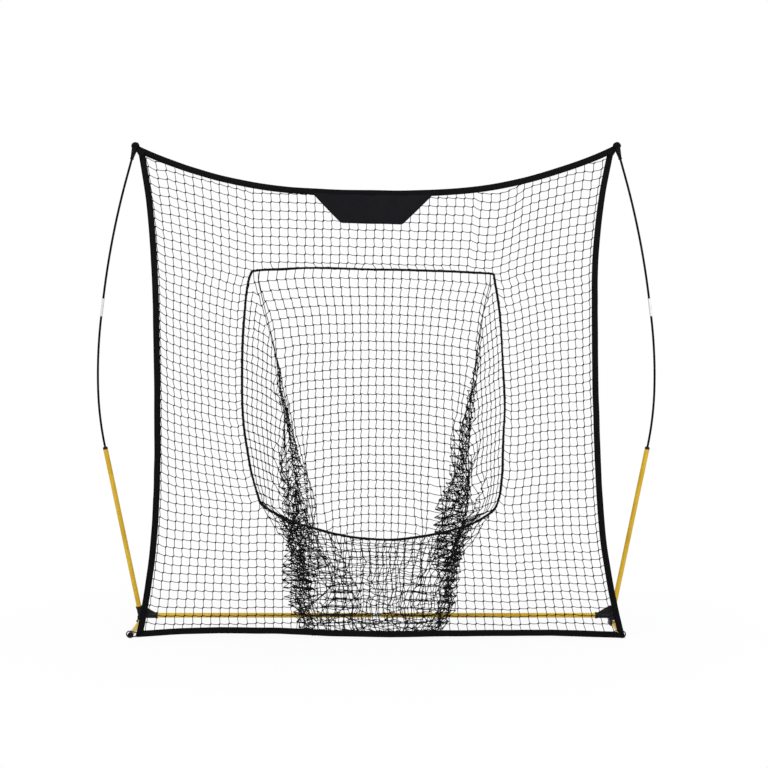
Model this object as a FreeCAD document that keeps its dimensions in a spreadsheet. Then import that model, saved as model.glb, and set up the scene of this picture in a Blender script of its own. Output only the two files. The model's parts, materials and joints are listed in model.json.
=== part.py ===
# Pitching target net: a square knotted net with a target mouth and a catching pocket,
# hung between two bowed glass-fibre poles that stand in a folding steel base.
# Millimetres, +Z up, the net faces -Y, the origin is under the middle of the crossbar.
import FreeCAD, Part
import math
import os
import Sketcher

V = FreeCAD.Vector
ROT = FreeCAD.Rotation
PLACE = FreeCAD.Placement

X_AXIS = V(1, 0, 0)
Y_AXIS = V(0, 1, 0)
Z_AXIS = V(0, 0, 1)
ORIGIN = V(0, 0, 0)

SIZES = {
    # steel tubes of the base
    "tube_od": 22, "tube_wall": 1.2, "bar_height": 42, "corner_half_span": 1088,
    "bar_end_inset": 14, "joiner_show": 37, "joiner_grip": 60, "slip_gap": 0.1,
    # snap button of the crossbar joint
    "button_radius": 3.3, "button_hole_gap": 0.3, "button_from_edge": 25, "button_proud": 2.8,
    "button_flange_radius": 4.5, "button_flange_depth": 1.6, "button_flange_height": 5.3,
    "spring_thickness": 0.6, "spring_width": 8, "spring_arm": 46, "spring_gap": 0.3,
    # corner elbows
    "socket_wall": 2.2, "socket_reach": 78, "socket_rim_wall": 4, "socket_rim_width": 8,
    "upright_socket_reach": 44, "upright_seat": 21, "gusset_thickness": 9, "gusset_height": 34,
    "gusset_reach": 66, "saddle_half_width": 13, "saddle_half_depth": 18,
    # folding feet
    "pin_offset": 38, "pin_radius": 4, "pin_fit": 0.06, "pin_head_radius": 7,
    "pin_head_height": 2.4, "jaw_radius": 15, "jaw_thickness": 4, "jaw_gap": 15,
    "eye_radius": 13, "eye_neck_radius": 6.6, "eye_side_gap": 0.3, "eye_web_gap": 1,
    "eye_shoulder_start": 17, "eye_shoulder_width": 3, "eye_plug_length": 28,
    "front_foot_length": 331, "rear_foot_length": 341, "front_toe_in": 2.5,
    "rear_toe_out": 7, "foot_cap_wall": 1.5,
    "foot_cap_sleeve": 20, "foot_cap_flat": 0.4,
    "foot_cap_end": 3, "foot_cap_rounding": 2.4,
    # uprights and their bushes
    "upright_length": 793, "upright_lean": 10.3, "upright_pitch": 8.3, "bush_plug": 25,
    "bush_head": 11, "bush_rounding": 5, "stop_depth": 140, "stop_height": 15, "seat_gap": 0.2,
    # bowed poles
    "pole_od": 10, "pole_fit": 0.07, "bow_foot_radius": 1500, "bow_mid_radius": 2300,
    "bow_top_radius": 3700, "ferrule_lean": 8.2, "tip_lean": 16.9, "ferrule_od": 12.8,
    "ferrule_length": 80, "tip_straight": 134,
    # rubber boots on the pole tips
    "boot_length": 75, "boot_lip_radius": 8.4, "boot_lip_width": 4, "boot_neck_radius": 7.2,
    "boot_neck_height": 8, "boot_shoulder_height": 56, "boot_radius": 14.5,
    "boot_dome_radius": 13.5, "boot_pole_depth": 64,
    # net plane and its webbing
    "net_stand_off": 8.3, "webbing_width": 25, "webbing_thickness": 2.5,
    "top_sag": 195.7, "top_middle_radius": 5000, "top_middle_half": 330,
    "top_outer_radius": 2000, "side_draw_in": 115, "side_low_radius": 2650,
    "side_low_tangent": 690, "side_high_radius": 3400, "side_flare_height": 735.7,
    "bottom_height": 14,
    # netting
    "mesh_pitch": 38.1, "meshes_per_gap": 3, "strand_width": 4, "net_thickness": 2,
    "smallest_gap_share": 0.15, "middle_gaps": 2, "outline_overshoot": 250,
    # target mouth and its rope
    "mouth_top": 1612, "mouth_top_half": 525, "mouth_middle": 1060, "mouth_middle_half": 578,
    "mouth_corner": 556, "mouth_corner_half": 500, "mouth_bottom": 426, "mouth_rounding": 40,
    "rope_diameter": 8, "sewing_gap": 0.3,
    # header banner
    "banner_top_half": 263, "banner_bottom_half": 141, "banner_depth": 145,
    "banner_thickness": 1,
    # catching pocket
    "pocket_wall": 3, "pocket_floor_gap": 1.5, "pocket_side_gap": 7,
    "pocket_top_depth": 13.5, "pocket_bar_gap": 29, "pocket_back_top_half": 500,
    "pocket_back_corner_half": 380, "pocket_back_foot_half": 330, "pocket_front_foot_half": 340,
    "pocket_back_gaps": 8, "pocket_gap_width": 90, "pocket_border": 8,
    # hoods and loops that hold the net's corners
    "corner_tab_width": 24, "hood_gap": 0.8, "hood_start": 12, "hood_sweep": 172, "loop_radius": 15.8,
    "loop_cord": 5, "loop_tilt": 75, "loop_height": 18, "loop_front_gap": 3.4,
}

doc = FreeCAD.newDocument("pitching_target_net")
sheet = doc.addObject("Spreadsheet::Sheet", "Sizes")
for row, (alias, number) in enumerate(SIZES.items(), 1):
    sheet.set(f"A{row}", alias)
    sheet.set(f"B{row}", str(number))
    sheet.setAlias(f"B{row}", alias)
doc.recompute()


def size(alias):
    return float(sheet.get(alias))


def bind(item, **expressions):
    for prop, expression in expressions.items():
        item.setExpression(prop, expression)
    return item


# Sub-parts that are written out, in the order in which they are made
sub_parts = []


def finish(item, label):
    item.Label = label
    sub_parts.append(item)
    return item


# Sketch, pad and revolve helpers

def new_sketch(body, label, plane_role):
    sketch = body.newObject("Sketcher::SketchObject", label)
    planes = {feature.Role: feature for feature in body.Origin.OriginFeatures}
    sketch.AttachmentSupport = [(planes[plane_role], "")]
    sketch.MapMode = "FlatFace"
    return sketch


def add_circle(sketch, radius):
    start = size_of(radius)
    index = sketch.addGeometry(Part.Circle(ORIGIN, Z_AXIS, start), False)
    sketch.addConstraint(Sketcher.Constraint("Coincident", index, 3, -1, 1))
    constraint = sketch.addConstraint(Sketcher.Constraint("Radius", index, start))
    sketch.setExpression(f"Constraints[{constraint}]", radius)


def add_polygon(sketch, points):
    """Closed polygon; each point is a pair of expressions, "0" lies on the sketch's axis."""
    corners = [V(float(size_of(a)), float(size_of(b)), 0) for a, b in points]
    count = len(corners)
    lines = []
    for index in range(count):
        segment = Part.LineSegment(corners[index], corners[(index + 1) % count])
        lines.append(sketch.addGeometry(segment, False))
    for index in range(count):
        following = lines[(index + 1) % count]
        sketch.addConstraint(Sketcher.Constraint("Coincident", lines[index], 2, following, 1))
    for index, (across, along) in enumerate(points):
        pin_point(sketch, lines[index], across, "DistanceX", corners[index].x, -2)
        pin_point(sketch, lines[index], along, "DistanceY", corners[index].y, -1)


def pin_point(sketch, line, expression, kind, start, axis):
    if expression == "0":
        sketch.addConstraint(Sketcher.Constraint("PointOnObject", line, 1, axis))
        return
    constraint = sketch.addConstraint(Sketcher.Constraint(kind, -1, 1, line, 1, start))
    sketch.setExpression(f"Constraints[{constraint}]", expression)


def size_of(expression):
    """Value of an expression over the sheet, to draw a polygon near its final place."""
    text = expression
    for alias in sorted(SIZES, key=len, reverse=True):
        text = text.replace("Sizes." + alias, repr(size(alias)))
    return FreeCAD.Units.Quantity(text).Value


def tube_body(name, outer, inner, length):
    body = doc.addObject("PartDesign::Body", name)
    sketch = new_sketch(body, name + "_ring", "XY_Plane")
    add_circle(sketch, outer)
    if inner:
        add_circle(sketch, inner)
    pad = body.newObject("PartDesign::Pad", name + "_pad")
    pad.Profile = sketch
    bind(pad, Length=length)
    return body


def turned_body(name, points):
    body = doc.addObject("PartDesign::Body", name)
    sketch = new_sketch(body, name + "_profile", "XZ_Plane")
    add_polygon(sketch, points)
    turn = body.newObject("PartDesign::Revolution", name + "_turn")
    turn.Profile = sketch
    turn.ReferenceAxis = (sketch, ["V_Axis"])
    turn.Angle = 360
    doc.recompute()
    return body


def round_highest_rim(body, radius):
    """Fillets the widest circular edge at the top of a turned body."""
    tip = body.Tip
    tip_edges = tip.Shape.Edges
    top = max(edge.BoundBox.ZMax for edge in tip_edges)
    rims = [i for i, edge in enumerate(tip_edges) if edge.BoundBox.ZMin > top - 1e-6]
    widest = max(rims, key=lambda i: tip_edges[i].BoundBox.XLength)
    fillet = body.newObject("PartDesign::Fillet", body.Name + "_rounding")
    fillet.Base = (tip, [f"Edge{widest + 1}"])
    bind(fillet, Radius=radius)
    return fillet


def cylinder(name, radius, height, place=None):
    item = doc.addObject("Part::Cylinder", name)
    bind(item, Radius=radius, Height=height)
    item.Placement = place or PLACE()
    return item


def box(name, length, width, height, place):
    item = doc.addObject("Part::Box", name)
    bind(item, Length=length, Width=width, Height=height)
    item.Placement = place
    return item


def fuse(name, items):
    item = doc.addObject("Part::MultiFuse", name)
    item.Shapes = items
    return item


def cut(name, base, tools):
    item = doc.addObject("Part::Cut", name)
    item.Base = base
    item.Tool = tools[0] if len(tools) == 1 else fuse(name + "_tools", tools)
    return item


def feature(name, shape):
    item = doc.addObject("Part::Feature", name)
    item.Shape = shape
    return item


def mirrored(item, label):
    """The same piece for the left side, mirrored across the middle plane."""
    twin = doc.addObject("Part::Mirroring", label)
    twin.Source = item
    twin.Base = ORIGIN
    twin.Normal = X_AXIS
    return finish(twin, label)


def both_sides(item, stem):
    finish(item, stem + "_right")
    return mirrored(item, stem + "_left")


# Shared places, worked out from the sizes

tube_radius = size("tube_od") / 2
tube_bore = tube_radius - size("tube_wall")
bar_height = size("bar_height")
corner = V(size("corner_half_span"), 0, bar_height)
pitch_turn = ROT(X_AXIS, size("upright_pitch"))
lean_turn = ROT(Y_AXIS, size("upright_lean"))
upright_turn = pitch_turn * lean_turn
toward_middle = ROT(Y_AXIS, -90)
# The caps of the feet are flattened where they stand, so their centres lie this high
FOOT_HEIGHT = "(Sizes.tube_od / 2 + Sizes.foot_cap_wall - Sizes.foot_cap_flat)"
FORK_LOW = f"({FOOT_HEIGHT} - Sizes.jaw_gap / 2 - Sizes.jaw_thickness)"
FORK_TOP = f"({FOOT_HEIGHT} + Sizes.jaw_gap / 2 + Sizes.jaw_thickness)"
foot_height = size_of(FOOT_HEIGHT)
fork_low = size_of(FORK_LOW)


def along_upright(distance):
    return corner + upright_turn.multVec(V(0, 0, distance))


def upright_place(distance):
    return PLACE(along_upright(distance), upright_turn)


# Crossbar: two tubes, a bare steel joiner, the snap button and its spring

def make_crossbar():
    half_length = "Sizes.corner_half_span - Sizes.bar_end_inset - Sizes.joiner_show / 2"
    start = size("corner_half_span") - size("bar_end_inset")
    left = tube_body("crossbar_tube", "Sizes.tube_od / 2",
                     "Sizes.tube_od / 2 - Sizes.tube_wall", half_length)
    left.Placement = PLACE(V(-start, 0, bar_height), ROT(Y_AXIS, 90))
    finish(left, "crossbar_left")

    right = tube_body("crossbar_drilled_tube", "Sizes.tube_od / 2",
                      "Sizes.tube_od / 2 - Sizes.tube_wall", half_length)
    right.Placement = PLACE(V(start, 0, bar_height), toward_middle)

    joiner = tube_body("joiner_tube", "Sizes.tube_od / 2 - Sizes.tube_wall - Sizes.slip_gap",
                       "Sizes.tube_od / 2 - 2 * Sizes.tube_wall - Sizes.slip_gap",
                       "Sizes.joiner_show + 2 * Sizes.joiner_grip")
    joiner_half = size("joiner_show") / 2 + size("joiner_grip")
    joiner.Placement = PLACE(V(-joiner_half, 0, bar_height), ROT(Y_AXIS, 90))

    button_x = size("joiner_show") / 2 + size("button_from_edge")
    outward = ROT(X_AXIS, -90)
    for target, label in ((right, "crossbar_right"), (joiner, "crossbar_joiner")):
        drill = cylinder(label + "_hole", "Sizes.button_radius + Sizes.button_hole_gap",
                         "Sizes.tube_od", PLACE(V(button_x, 0, bar_height), outward))
        finish(cut(label, target, [drill]), label)
    make_snap_button(button_x, outward)


def make_snap_button(button_x, outward):
    top = "Sizes.tube_od / 2 + Sizes.button_proud"
    button = turned_body("button_turned", [
        ("0", "Sizes.button_flange_height"),
        ("Sizes.button_flange_radius", "Sizes.button_flange_height"),
        ("Sizes.button_flange_radius", "Sizes.button_flange_height + Sizes.button_flange_depth"),
        ("Sizes.button_radius", "Sizes.button_flange_height + Sizes.button_flange_depth"),
        ("Sizes.button_radius", top),
        ("0", top)])
    round_highest_rim(button, "Sizes.button_radius * 0.7")
    button.Placement = PLACE(V(button_x, 0, bar_height), outward)
    finish(button, "snap_button")

    thickness = size("spring_thickness")
    upper = size("button_flange_height") - size("spring_gap")
    joiner_bore = tube_bore - size("slip_gap") - size("tube_wall")
    wide = size("spring_width") / 2
    lower = -math.sqrt(joiner_bore ** 2 - wide ** 2) + size("spring_gap")
    bend = (upper - lower) / 2
    free_end = button_x + size("button_flange_radius")
    bend_x = free_end - size("spring_arm")
    base_z = bar_height - wide
    arm_upper = box("spring_arm_moving", "Sizes.spring_arm", "Sizes.spring_thickness",
                    "Sizes.spring_width", PLACE(V(bend_x, upper - thickness, base_z), ROT()))
    arm_lower = box("spring_arm_fixed", "Sizes.spring_arm", "Sizes.spring_thickness",
                    "Sizes.spring_width", PLACE(V(bend_x, lower, base_z), ROT()))
    outer = doc.addObject("Part::Cylinder", "spring_bend_outer")
    inner = doc.addObject("Part::Cylinder", "spring_bend_inner")
    for item, radius in ((outer, bend), (inner, bend - thickness)):
        item.Radius = radius
        item.Angle = 180
        item.Placement = PLACE(V(bend_x, (upper + lower) / 2, base_z), ROT(Z_AXIS, 90))
        bind(item, Height="Sizes.spring_width")
    bend_ring = cut("spring_bend", outer, [inner])
    finish(fuse("spring_fused", [arm_upper, arm_lower, bend_ring]), "button_spring")


# Corner elbow: crossbar socket, upright socket, gusset and the forks of the two feet

def make_elbow():
    reach = size("socket_reach")
    socket_radius = "Sizes.tube_od / 2 + Sizes.socket_wall"
    rim_radius = "Sizes.tube_od / 2 + Sizes.socket_rim_wall"
    outer_end = corner + V(6, 0, 0)
    solids = [
        cylinder("elbow_bar_socket", socket_radius, "Sizes.socket_reach + 6",
                 PLACE(outer_end, toward_middle)),
        cylinder("elbow_bar_rim", rim_radius, "Sizes.socket_rim_width",
                 PLACE(corner - V(reach - size("socket_rim_width"), 0, 0), toward_middle)),
        cylinder("elbow_upright_socket", socket_radius, "Sizes.upright_socket_reach + 6",
                 upright_place(-6)),
        cylinder("elbow_upright_rim", rim_radius, "Sizes.socket_rim_width",
                 upright_place(size("upright_socket_reach") - size("socket_rim_width"))),
        make_gusset(),
        make_saddle(),
        make_fork(),
    ]
    bores = [
        cylinder("elbow_bar_bore", "Sizes.tube_od / 2 + Sizes.slip_gap",
                 "Sizes.socket_reach - Sizes.bar_end_inset + Sizes.seat_gap + 1",
                 PLACE(corner - V(size("bar_end_inset") - size("seat_gap"), 0, 0),
                       toward_middle)),
        cylinder("elbow_upright_bore", "Sizes.tube_od / 2 + Sizes.slip_gap",
                 "Sizes.upright_socket_reach", upright_place(size("upright_seat"))),
    ]
    for side in (-1, 1):
        bores.append(make_fork_gap(side))
        pin_place = PLACE(V(corner.x, side * size("pin_offset"), 0), ROT())
        bores.append(cylinder("elbow_pin_bore", "Sizes.pin_radius + Sizes.pin_fit",
                              "Sizes.bar_height", pin_place))
    both_sides(cut("elbow_cut", fuse("elbow_solid", solids), bores), "elbow")


def make_gusset():
    """Triangular web between the two sockets."""
    body = doc.addObject("PartDesign::Body", "elbow_gusset")
    sketch = new_sketch(body, "elbow_gusset_outline", "XZ_Plane")
    add_polygon(sketch, [
        ("0", "0"),
        ("Sizes.gusset_reach", "0"),
        ("Sizes.gusset_reach", "Sizes.tube_od / 2 + Sizes.socket_wall"),
        ("Sizes.tube_od / 2", "Sizes.gusset_height + Sizes.tube_od / 2"),
        ("0", "Sizes.gusset_height + Sizes.tube_od / 2")])
    pad = body.newObject("PartDesign::Pad", "elbow_gusset_pad")
    pad.Profile = sketch
    pad.Midplane = True
    bind(pad, Length="Sizes.gusset_thickness")
    body.Placement = PLACE(corner, ROT(Z_AXIS, 180))
    return body


def make_saddle():
    """Block that carries the crossbar socket on the forks."""
    wide = size("saddle_half_width")
    deep = size("saddle_half_depth")
    return box("elbow_saddle", "2 * Sizes.saddle_half_width", "2 * Sizes.saddle_half_depth",
               "Sizes.bar_height - " + FORK_LOW,
               PLACE(V(corner.x - wide, -deep, fork_low), ROT()))


def make_fork():
    """Two jaws with round ends, one above and one below the eyes of both feet."""
    height = "2 * Sizes.jaw_thickness + Sizes.jaw_gap"
    offset = size("pin_offset")
    radius = size("jaw_radius")
    bar = box("elbow_jaw_bar", "2 * Sizes.jaw_radius", "2 * Sizes.pin_offset", height,
              PLACE(V(corner.x - radius, -offset, fork_low), ROT()))
    ends = [cylinder("elbow_jaw_end", "Sizes.jaw_radius", height,
                     PLACE(V(corner.x, side * offset, fork_low), ROT())) for side in (-1, 1)]
    return fuse("elbow_fork", [bar] + ends)


def make_fork_gap(side):
    """Space between the jaws, in which the eye of a foot turns."""
    web_end = size("pin_offset") - size("eye_radius") - size("eye_web_gap")
    start = web_end if side > 0 else -web_end - size("jaw_radius") * 3
    low = foot_height - size("jaw_gap") / 2
    return box("elbow_fork_gap", "4 * Sizes.jaw_radius", "3 * Sizes.jaw_radius",
               "Sizes.jaw_gap", PLACE(V(corner.x - 2 * size("jaw_radius"), start, low), ROT()))


# Hinge pins of the feet: one node, four rivets

def make_pins():
    rivets = []
    for side_x in (-1, 1):
        for side_y in (-1, 1):
            rivet = turned_body("hinge_rivet", [
                ("0", FORK_LOW),
                ("Sizes.pin_radius", FORK_LOW),
                ("Sizes.pin_radius", FORK_TOP),
                ("Sizes.pin_head_radius", FORK_TOP),
                ("Sizes.pin_head_radius", FORK_TOP + " + Sizes.pin_head_height"),
                ("0", FORK_TOP + " + Sizes.pin_head_height")])
            round_highest_rim(rivet, "Sizes.pin_head_height * 0.8")
            rivet.Placement = PLACE(V(side_x * corner.x, side_y * size("pin_offset"), 0), ROT())
            rivets.append(rivet)
    group = doc.addObject("Part::Compound", "hinge_pin_group")
    group.Links = rivets
    finish(group, "foot_hinge_pins")


# Feet: eye, tube and end cap, front and rear

def make_feet():
    for stem, side in (("front", -1), ("rear", 1)):
        make_foot(stem, side)


def make_foot(stem, side):
    """side is -1 for a foot that points forward and 1 for one that points back."""
    turn = size("rear_toe_out") if side > 0 else size("front_toe_in")
    heading = ROT(Z_AXIS, -turn) * ROT(X_AXIS, -90 * side)
    hinge = V(corner.x, side * size("pin_offset"), foot_height)

    def along(distance):
        return PLACE(hinge + heading.multVec(V(0, 0, distance)), heading)

    thickness = "Sizes.jaw_gap - 2 * Sizes.eye_side_gap"
    half = size("jaw_gap") / 2 - size("eye_side_gap")
    plug_radius = "Sizes.tube_od / 2 - Sizes.tube_wall - Sizes.slip_gap"
    shoulder = size("eye_shoulder_start")
    solids = [
        cylinder(stem + "_eye_ring", "Sizes.eye_radius", thickness,
                 PLACE(hinge - V(0, 0, half), ROT())),
        cylinder(stem + "_eye_neck", "Sizes.eye_neck_radius",
                 "Sizes.eye_shoulder_start + 1", along(0)),
        cylinder(stem + "_eye_shoulder", "Sizes.tube_od / 2", "Sizes.eye_shoulder_width",
                 along(shoulder)),
        cylinder(stem + "_eye_plug", plug_radius,
                 "Sizes.eye_shoulder_width + Sizes.eye_plug_length", along(shoulder)),
    ]
    bore = cylinder(stem + "_eye_bore", "Sizes.pin_radius + Sizes.pin_fit",
                    "2 * Sizes.jaw_gap", PLACE(hinge - V(0, 0, size("jaw_gap")), ROT()))
    both_sides(cut(stem + "_eye_cut", fuse(stem + "_eye_solid", solids), [bore]),
               stem + "_foot_eye")

    foot_length = stem + "_foot_length"
    tube_start = shoulder + size("eye_shoulder_width")
    tube = tube_body(stem + "_foot_body", "Sizes.tube_od / 2",
                     "Sizes.tube_od / 2 - Sizes.tube_wall",
                     f"Sizes.{foot_length} - Sizes.eye_shoulder_start"
                     " - Sizes.eye_shoulder_width")
    tube.Placement = along(tube_start)
    both_sides(tube, stem + "_foot")

    sleeve_bore = "Sizes.tube_od / 2 + Sizes.slip_gap"
    sleeve_radius = "Sizes.tube_od / 2 + Sizes.foot_cap_wall"
    full = "Sizes.foot_cap_sleeve + Sizes.foot_cap_end"
    cap = turned_body(stem + "_cap_body", [
        (sleeve_bore, "0"),
        (sleeve_radius, "0"),
        (sleeve_radius, full),
        ("0", full),
        ("0", "Sizes.foot_cap_sleeve"),
        (sleeve_bore, "Sizes.foot_cap_sleeve")])
    round_highest_rim(cap, "Sizes.foot_cap_rounding")
    cap.Placement = along(size(foot_length) - size("foot_cap_sleeve"))
    reach = size(foot_length) + size("pin_offset")
    floor_y = 0 if side > 0 else -2 * reach
    under = box(stem + "_cap_flat", "4 * Sizes.tube_od", f"2 * (Sizes.{foot_length} + Sizes.pin_offset)",
                "Sizes.tube_od", PLACE(V(corner.x - 2 * size("tube_od"), floor_y,
                                         -size("tube_od")), ROT()))
    both_sides(cut(stem + "_cap_cut", cap, [under]), stem + "_foot_cap")


# Uprights with the bush at the top and the stop inside

def make_uprights():
    seat = size("upright_seat") + size("seat_gap")
    tube = tube_body("upright_tube", "Sizes.tube_od / 2", "Sizes.tube_od / 2 - Sizes.tube_wall",
                     "Sizes.upright_length - Sizes.upright_seat - Sizes.seat_gap")
    tube.Placement = upright_place(seat)
    both_sides(tube, "upright")

    plug = "Sizes.tube_od / 2 - Sizes.tube_wall - Sizes.slip_gap"
    pole_bore = "Sizes.pole_od / 2 + Sizes.pole_fit"
    top = "Sizes.bush_plug + Sizes.bush_head"
    bush = turned_body("bush_body", [
        (pole_bore, "0"),
        (plug, "0"),
        (plug, "Sizes.bush_plug"),
        ("Sizes.tube_od / 2", "Sizes.bush_plug"),
        ("Sizes.tube_od / 2", top),
        (pole_bore, top)])
    round_highest_rim(bush, "Sizes.bush_rounding")
    bush.Placement = upright_place(size("upright_length") - size("bush_plug"))
    both_sides(bush, "upright_bush")

    stop = cylinder("stop_body", plug, "Sizes.stop_height",
                    upright_place(size("upright_length") - size("stop_depth")
                                  - size("stop_height")))
    both_sides(stop, "pole_stop")


# Bowed poles: straight ends and tangent arcs, in the plane of the uprights

def in_bow_plane(across, up):
    return pitch_turn.multVec(V(across, 0, up)) + V(0, 0, bar_height)


class BowPath:
    """Walks up the pole from the corner, with the lean measured outward from the vertical."""

    def __init__(self, lean):
        self.across = corner.x
        self.up = 0.0
        self.lean = lean

    def advance(self, distance):
        self.across += distance * math.sin(math.radians(self.lean))
        self.up += distance * math.cos(math.radians(self.lean))

    def place(self):
        turn = pitch_turn * ROT(Y_AXIS, self.lean)
        return PLACE(in_bow_plane(self.across, self.up), turn)

    def turn_inward(self, radius, end_lean):
        """Follows an arc whose centre is on the inner side, and returns the centre."""
        start = math.radians(self.lean)
        end = math.radians(end_lean)
        centre_across = self.across - radius * math.cos(start)
        centre_up = self.up + radius * math.sin(start)
        self.across = centre_across + radius * math.cos(end)
        self.up = centre_up - radius * math.sin(end)
        self.lean = end_lean
        return in_bow_plane(centre_across, centre_up)

    def rod(self, name, length_expression, length):
        item = cylinder(name, "Sizes.pole_od / 2", length_expression, self.place())
        self.advance(length)
        return item

    def bend(self, name, radius_alias, end_lean, angle_expression):
        turn = pitch_turn * ROT(X_AXIS, 90) * ROT(Z_AXIS, -self.lean)
        item = doc.addObject("Part::Torus", name)
        bind(item, Radius1="Sizes." + radius_alias, Radius2="Sizes.pole_od / 2",
             Angle3=angle_expression)
        item.Placement = PLACE(self.turn_inward(size(radius_alias), end_lean), turn)
        return item


def find_boot_middle():
    """Centre of the right boot's dome, which carries the net's upper corner."""
    path = BowPath(size("upright_lean"))
    path.advance(size("upright_length") + size("bush_head"))
    path.turn_inward(size("bow_foot_radius"), 0)
    path.turn_inward(size("bow_mid_radius"), -size("ferrule_lean"))
    path.advance(size("ferrule_length"))
    path.turn_inward(size("bow_top_radius"), -size("tip_lean"))
    path.advance(size("tip_straight") - size("boot_pole_depth"))
    path.advance(size("boot_length") - size("boot_radius"))
    return in_bow_plane(path.across, path.up)


def make_poles():
    path = BowPath(size("upright_lean"))
    inside = size("stop_depth") - size("seat_gap")
    path.advance(size("upright_length") - inside)
    lower = [
        path.rod("pole_foot", "Sizes.stop_depth - Sizes.seat_gap + Sizes.bush_head",
                 inside + size("bush_head")),
        path.bend("pole_bow_foot", "bow_foot_radius", 0, "Sizes.upright_lean"),
        path.bend("pole_bow_middle", "bow_mid_radius", -size("ferrule_lean"),
                  "Sizes.ferrule_lean"),
    ]
    ferrule_place = path.place()
    half = size("ferrule_length") / 2
    lower.append(path.rod("pole_spigot", "Sizes.ferrule_length / 2 - Sizes.seat_gap",
                          half - size("seat_gap")))
    both_sides(fuse("pole_lower_fused", lower), "pole_lower")

    ferrule = tube_body("ferrule_tube", "Sizes.ferrule_od / 2",
                        "Sizes.pole_od / 2 + Sizes.pole_fit", "Sizes.ferrule_length")
    ferrule.Placement = ferrule_place
    both_sides(ferrule, "pole_ferrule")

    path.advance(size("seat_gap"))
    boot_inside = size("boot_pole_depth")
    upper = [
        path.rod("pole_upper_foot", "Sizes.ferrule_length / 2", half),
        path.bend("pole_bow_top", "bow_top_radius", -size("tip_lean"),
                  "Sizes.tip_lean - Sizes.ferrule_lean"),
        path.rod("pole_tip", "Sizes.tip_straight", size("tip_straight")),
    ]
    both_sides(fuse("pole_upper_fused", upper), "pole_upper")

    path.advance(-boot_inside)
    both_sides(make_boot(path.place()), "pole_boot")


def make_boot(place):
    bore = "Sizes.pole_od / 2 + Sizes.pole_fit"
    boot = turned_body("boot_body", [
        (bore, "0"),
        ("Sizes.boot_lip_radius", "0"),
        ("Sizes.boot_lip_radius", "Sizes.boot_lip_width"),
        ("Sizes.boot_neck_radius", "Sizes.boot_neck_height"),
        ("Sizes.boot_radius", "Sizes.boot_shoulder_height"),
        ("Sizes.boot_radius", "Sizes.boot_length"),
        ("0", "Sizes.boot_length"),
        ("0", "Sizes.boot_pole_depth + Sizes.seat_gap"),
        (bore, "Sizes.boot_pole_depth + Sizes.seat_gap")])
    round_highest_rim(boot, "Sizes.boot_dome_radius")
    boot.Placement = place
    return boot


# Net plane: outlines are drawn in x and height along the net, then stood up and pitched back

boot_middle = find_boot_middle()
foot_tip = size("front_foot_length") + size("foot_cap_end")
foot_tip_x = corner.x - foot_tip * math.sin(math.radians(size("front_toe_in")))
foot_tip_y = -size("pin_offset") - foot_tip * math.cos(math.radians(size("front_toe_in")))
net_foot_y = foot_tip_y - size("net_stand_off")
net_pitch = math.atan2(boot_middle.y - net_foot_y, boot_middle.z)
NET_TURN = ROT(X_AXIS, 90 - math.degrees(net_pitch))
NET_PLACE = PLACE(V(0, net_foot_y, 0), NET_TURN)
boot_height = NET_PLACE.inverse().multVec(boot_middle).y
sag_height = boot_height - size("top_sag")
side_half_width = size("corner_half_span") - size("side_draw_in")
side_high_tangent = boot_height - size("side_flare_height")
FIELD = 3000


def plane_face(edges):
    return Part.Face(Part.Wire(edges))


def line(a, b):
    return Part.LineSegment(V(*a, 0), V(*b, 0)).toShape()


def arc(a, middle, b):
    return Part.Arc(V(*a, 0), V(*middle, 0), V(*b, 0)).toShape()


def sheet_of(face, thickness, offset=0.0):
    """Solid of a flat outline; the offset moves its middle in front of the net plane."""
    start = face.translated(V(0, 0, offset - thickness / 2))
    return start.extrude(V(0, 0, thickness))


def largest(faces):
    return max(faces, key=lambda face: face.Area)


def net_item(name, shape, label):
    item = feature(name, shape)
    item.Placement = NET_PLACE
    return finish(item, label)


def top_height(across):
    """Height of the net's upper edge at a distance from the middle."""
    half = size("top_middle_half")
    radius = size("top_middle_radius")
    rise = radius - math.sqrt(radius ** 2 - min(across, half) ** 2)
    if across <= half:
        return sag_height + rise
    outer = size("top_outer_radius")
    lean = math.asin(half / radius)
    reach = across - half + outer * math.sin(lean)
    return (sag_height + rise + outer * math.cos(lean)
            - math.sqrt(outer ** 2 - reach ** 2))


def below_top(inset):
    """Field under the sagging upper edge: one flat arc in the middle, a tighter one each side."""
    half = size("top_middle_half")
    limit = side_half_width * 1.2
    middle = (half + limit) / 2

    def point(across):
        return (across, top_height(abs(across)) - inset)

    edges = [
        arc(point(-limit), point(-middle), point(-half)),
        arc(point(-half), point(0), point(half)),
        arc(point(half), point(middle), point(limit)),
        line(point(limit), (limit, -FIELD)),
        line((limit, -FIELD), (-limit, -FIELD)),
        line((-limit, -FIELD), point(-limit)),
    ]
    return plane_face(edges)


def side_half(height):
    """Half width of the net at a height: straight in the middle, flaring at both ends."""
    low = size("side_low_tangent")
    high = side_high_tangent
    if height < low:
        radius = size("side_low_radius")
        return side_half_width + radius - math.sqrt(radius ** 2 - (low - height) ** 2)
    if height > high:
        radius = size("side_high_radius")
        return side_half_width + radius - math.sqrt(radius ** 2 - (height - high) ** 2)
    return side_half_width


def inside_sides(inset):
    low = size("side_low_tangent")
    high = side_high_tangent
    foot = -size("outline_overshoot")
    head = sag_height + size("outline_overshoot")
    heights = (foot, (foot + low) / 2, low, high, (high + head) / 2, head)
    right = [(side_half(height) - inset, height) for height in heights]
    left = [(-across, height) for across, height in right]
    edges = [
        arc(right[0], right[1], right[2]), line(right[2], right[3]),
        arc(right[3], right[4], right[5]), line(right[5], left[5]),
        arc(left[5], left[4], left[3]), line(left[3], left[2]),
        arc(left[2], left[1], left[0]), line(left[0], right[0]),
    ]
    return plane_face(edges)


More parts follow.
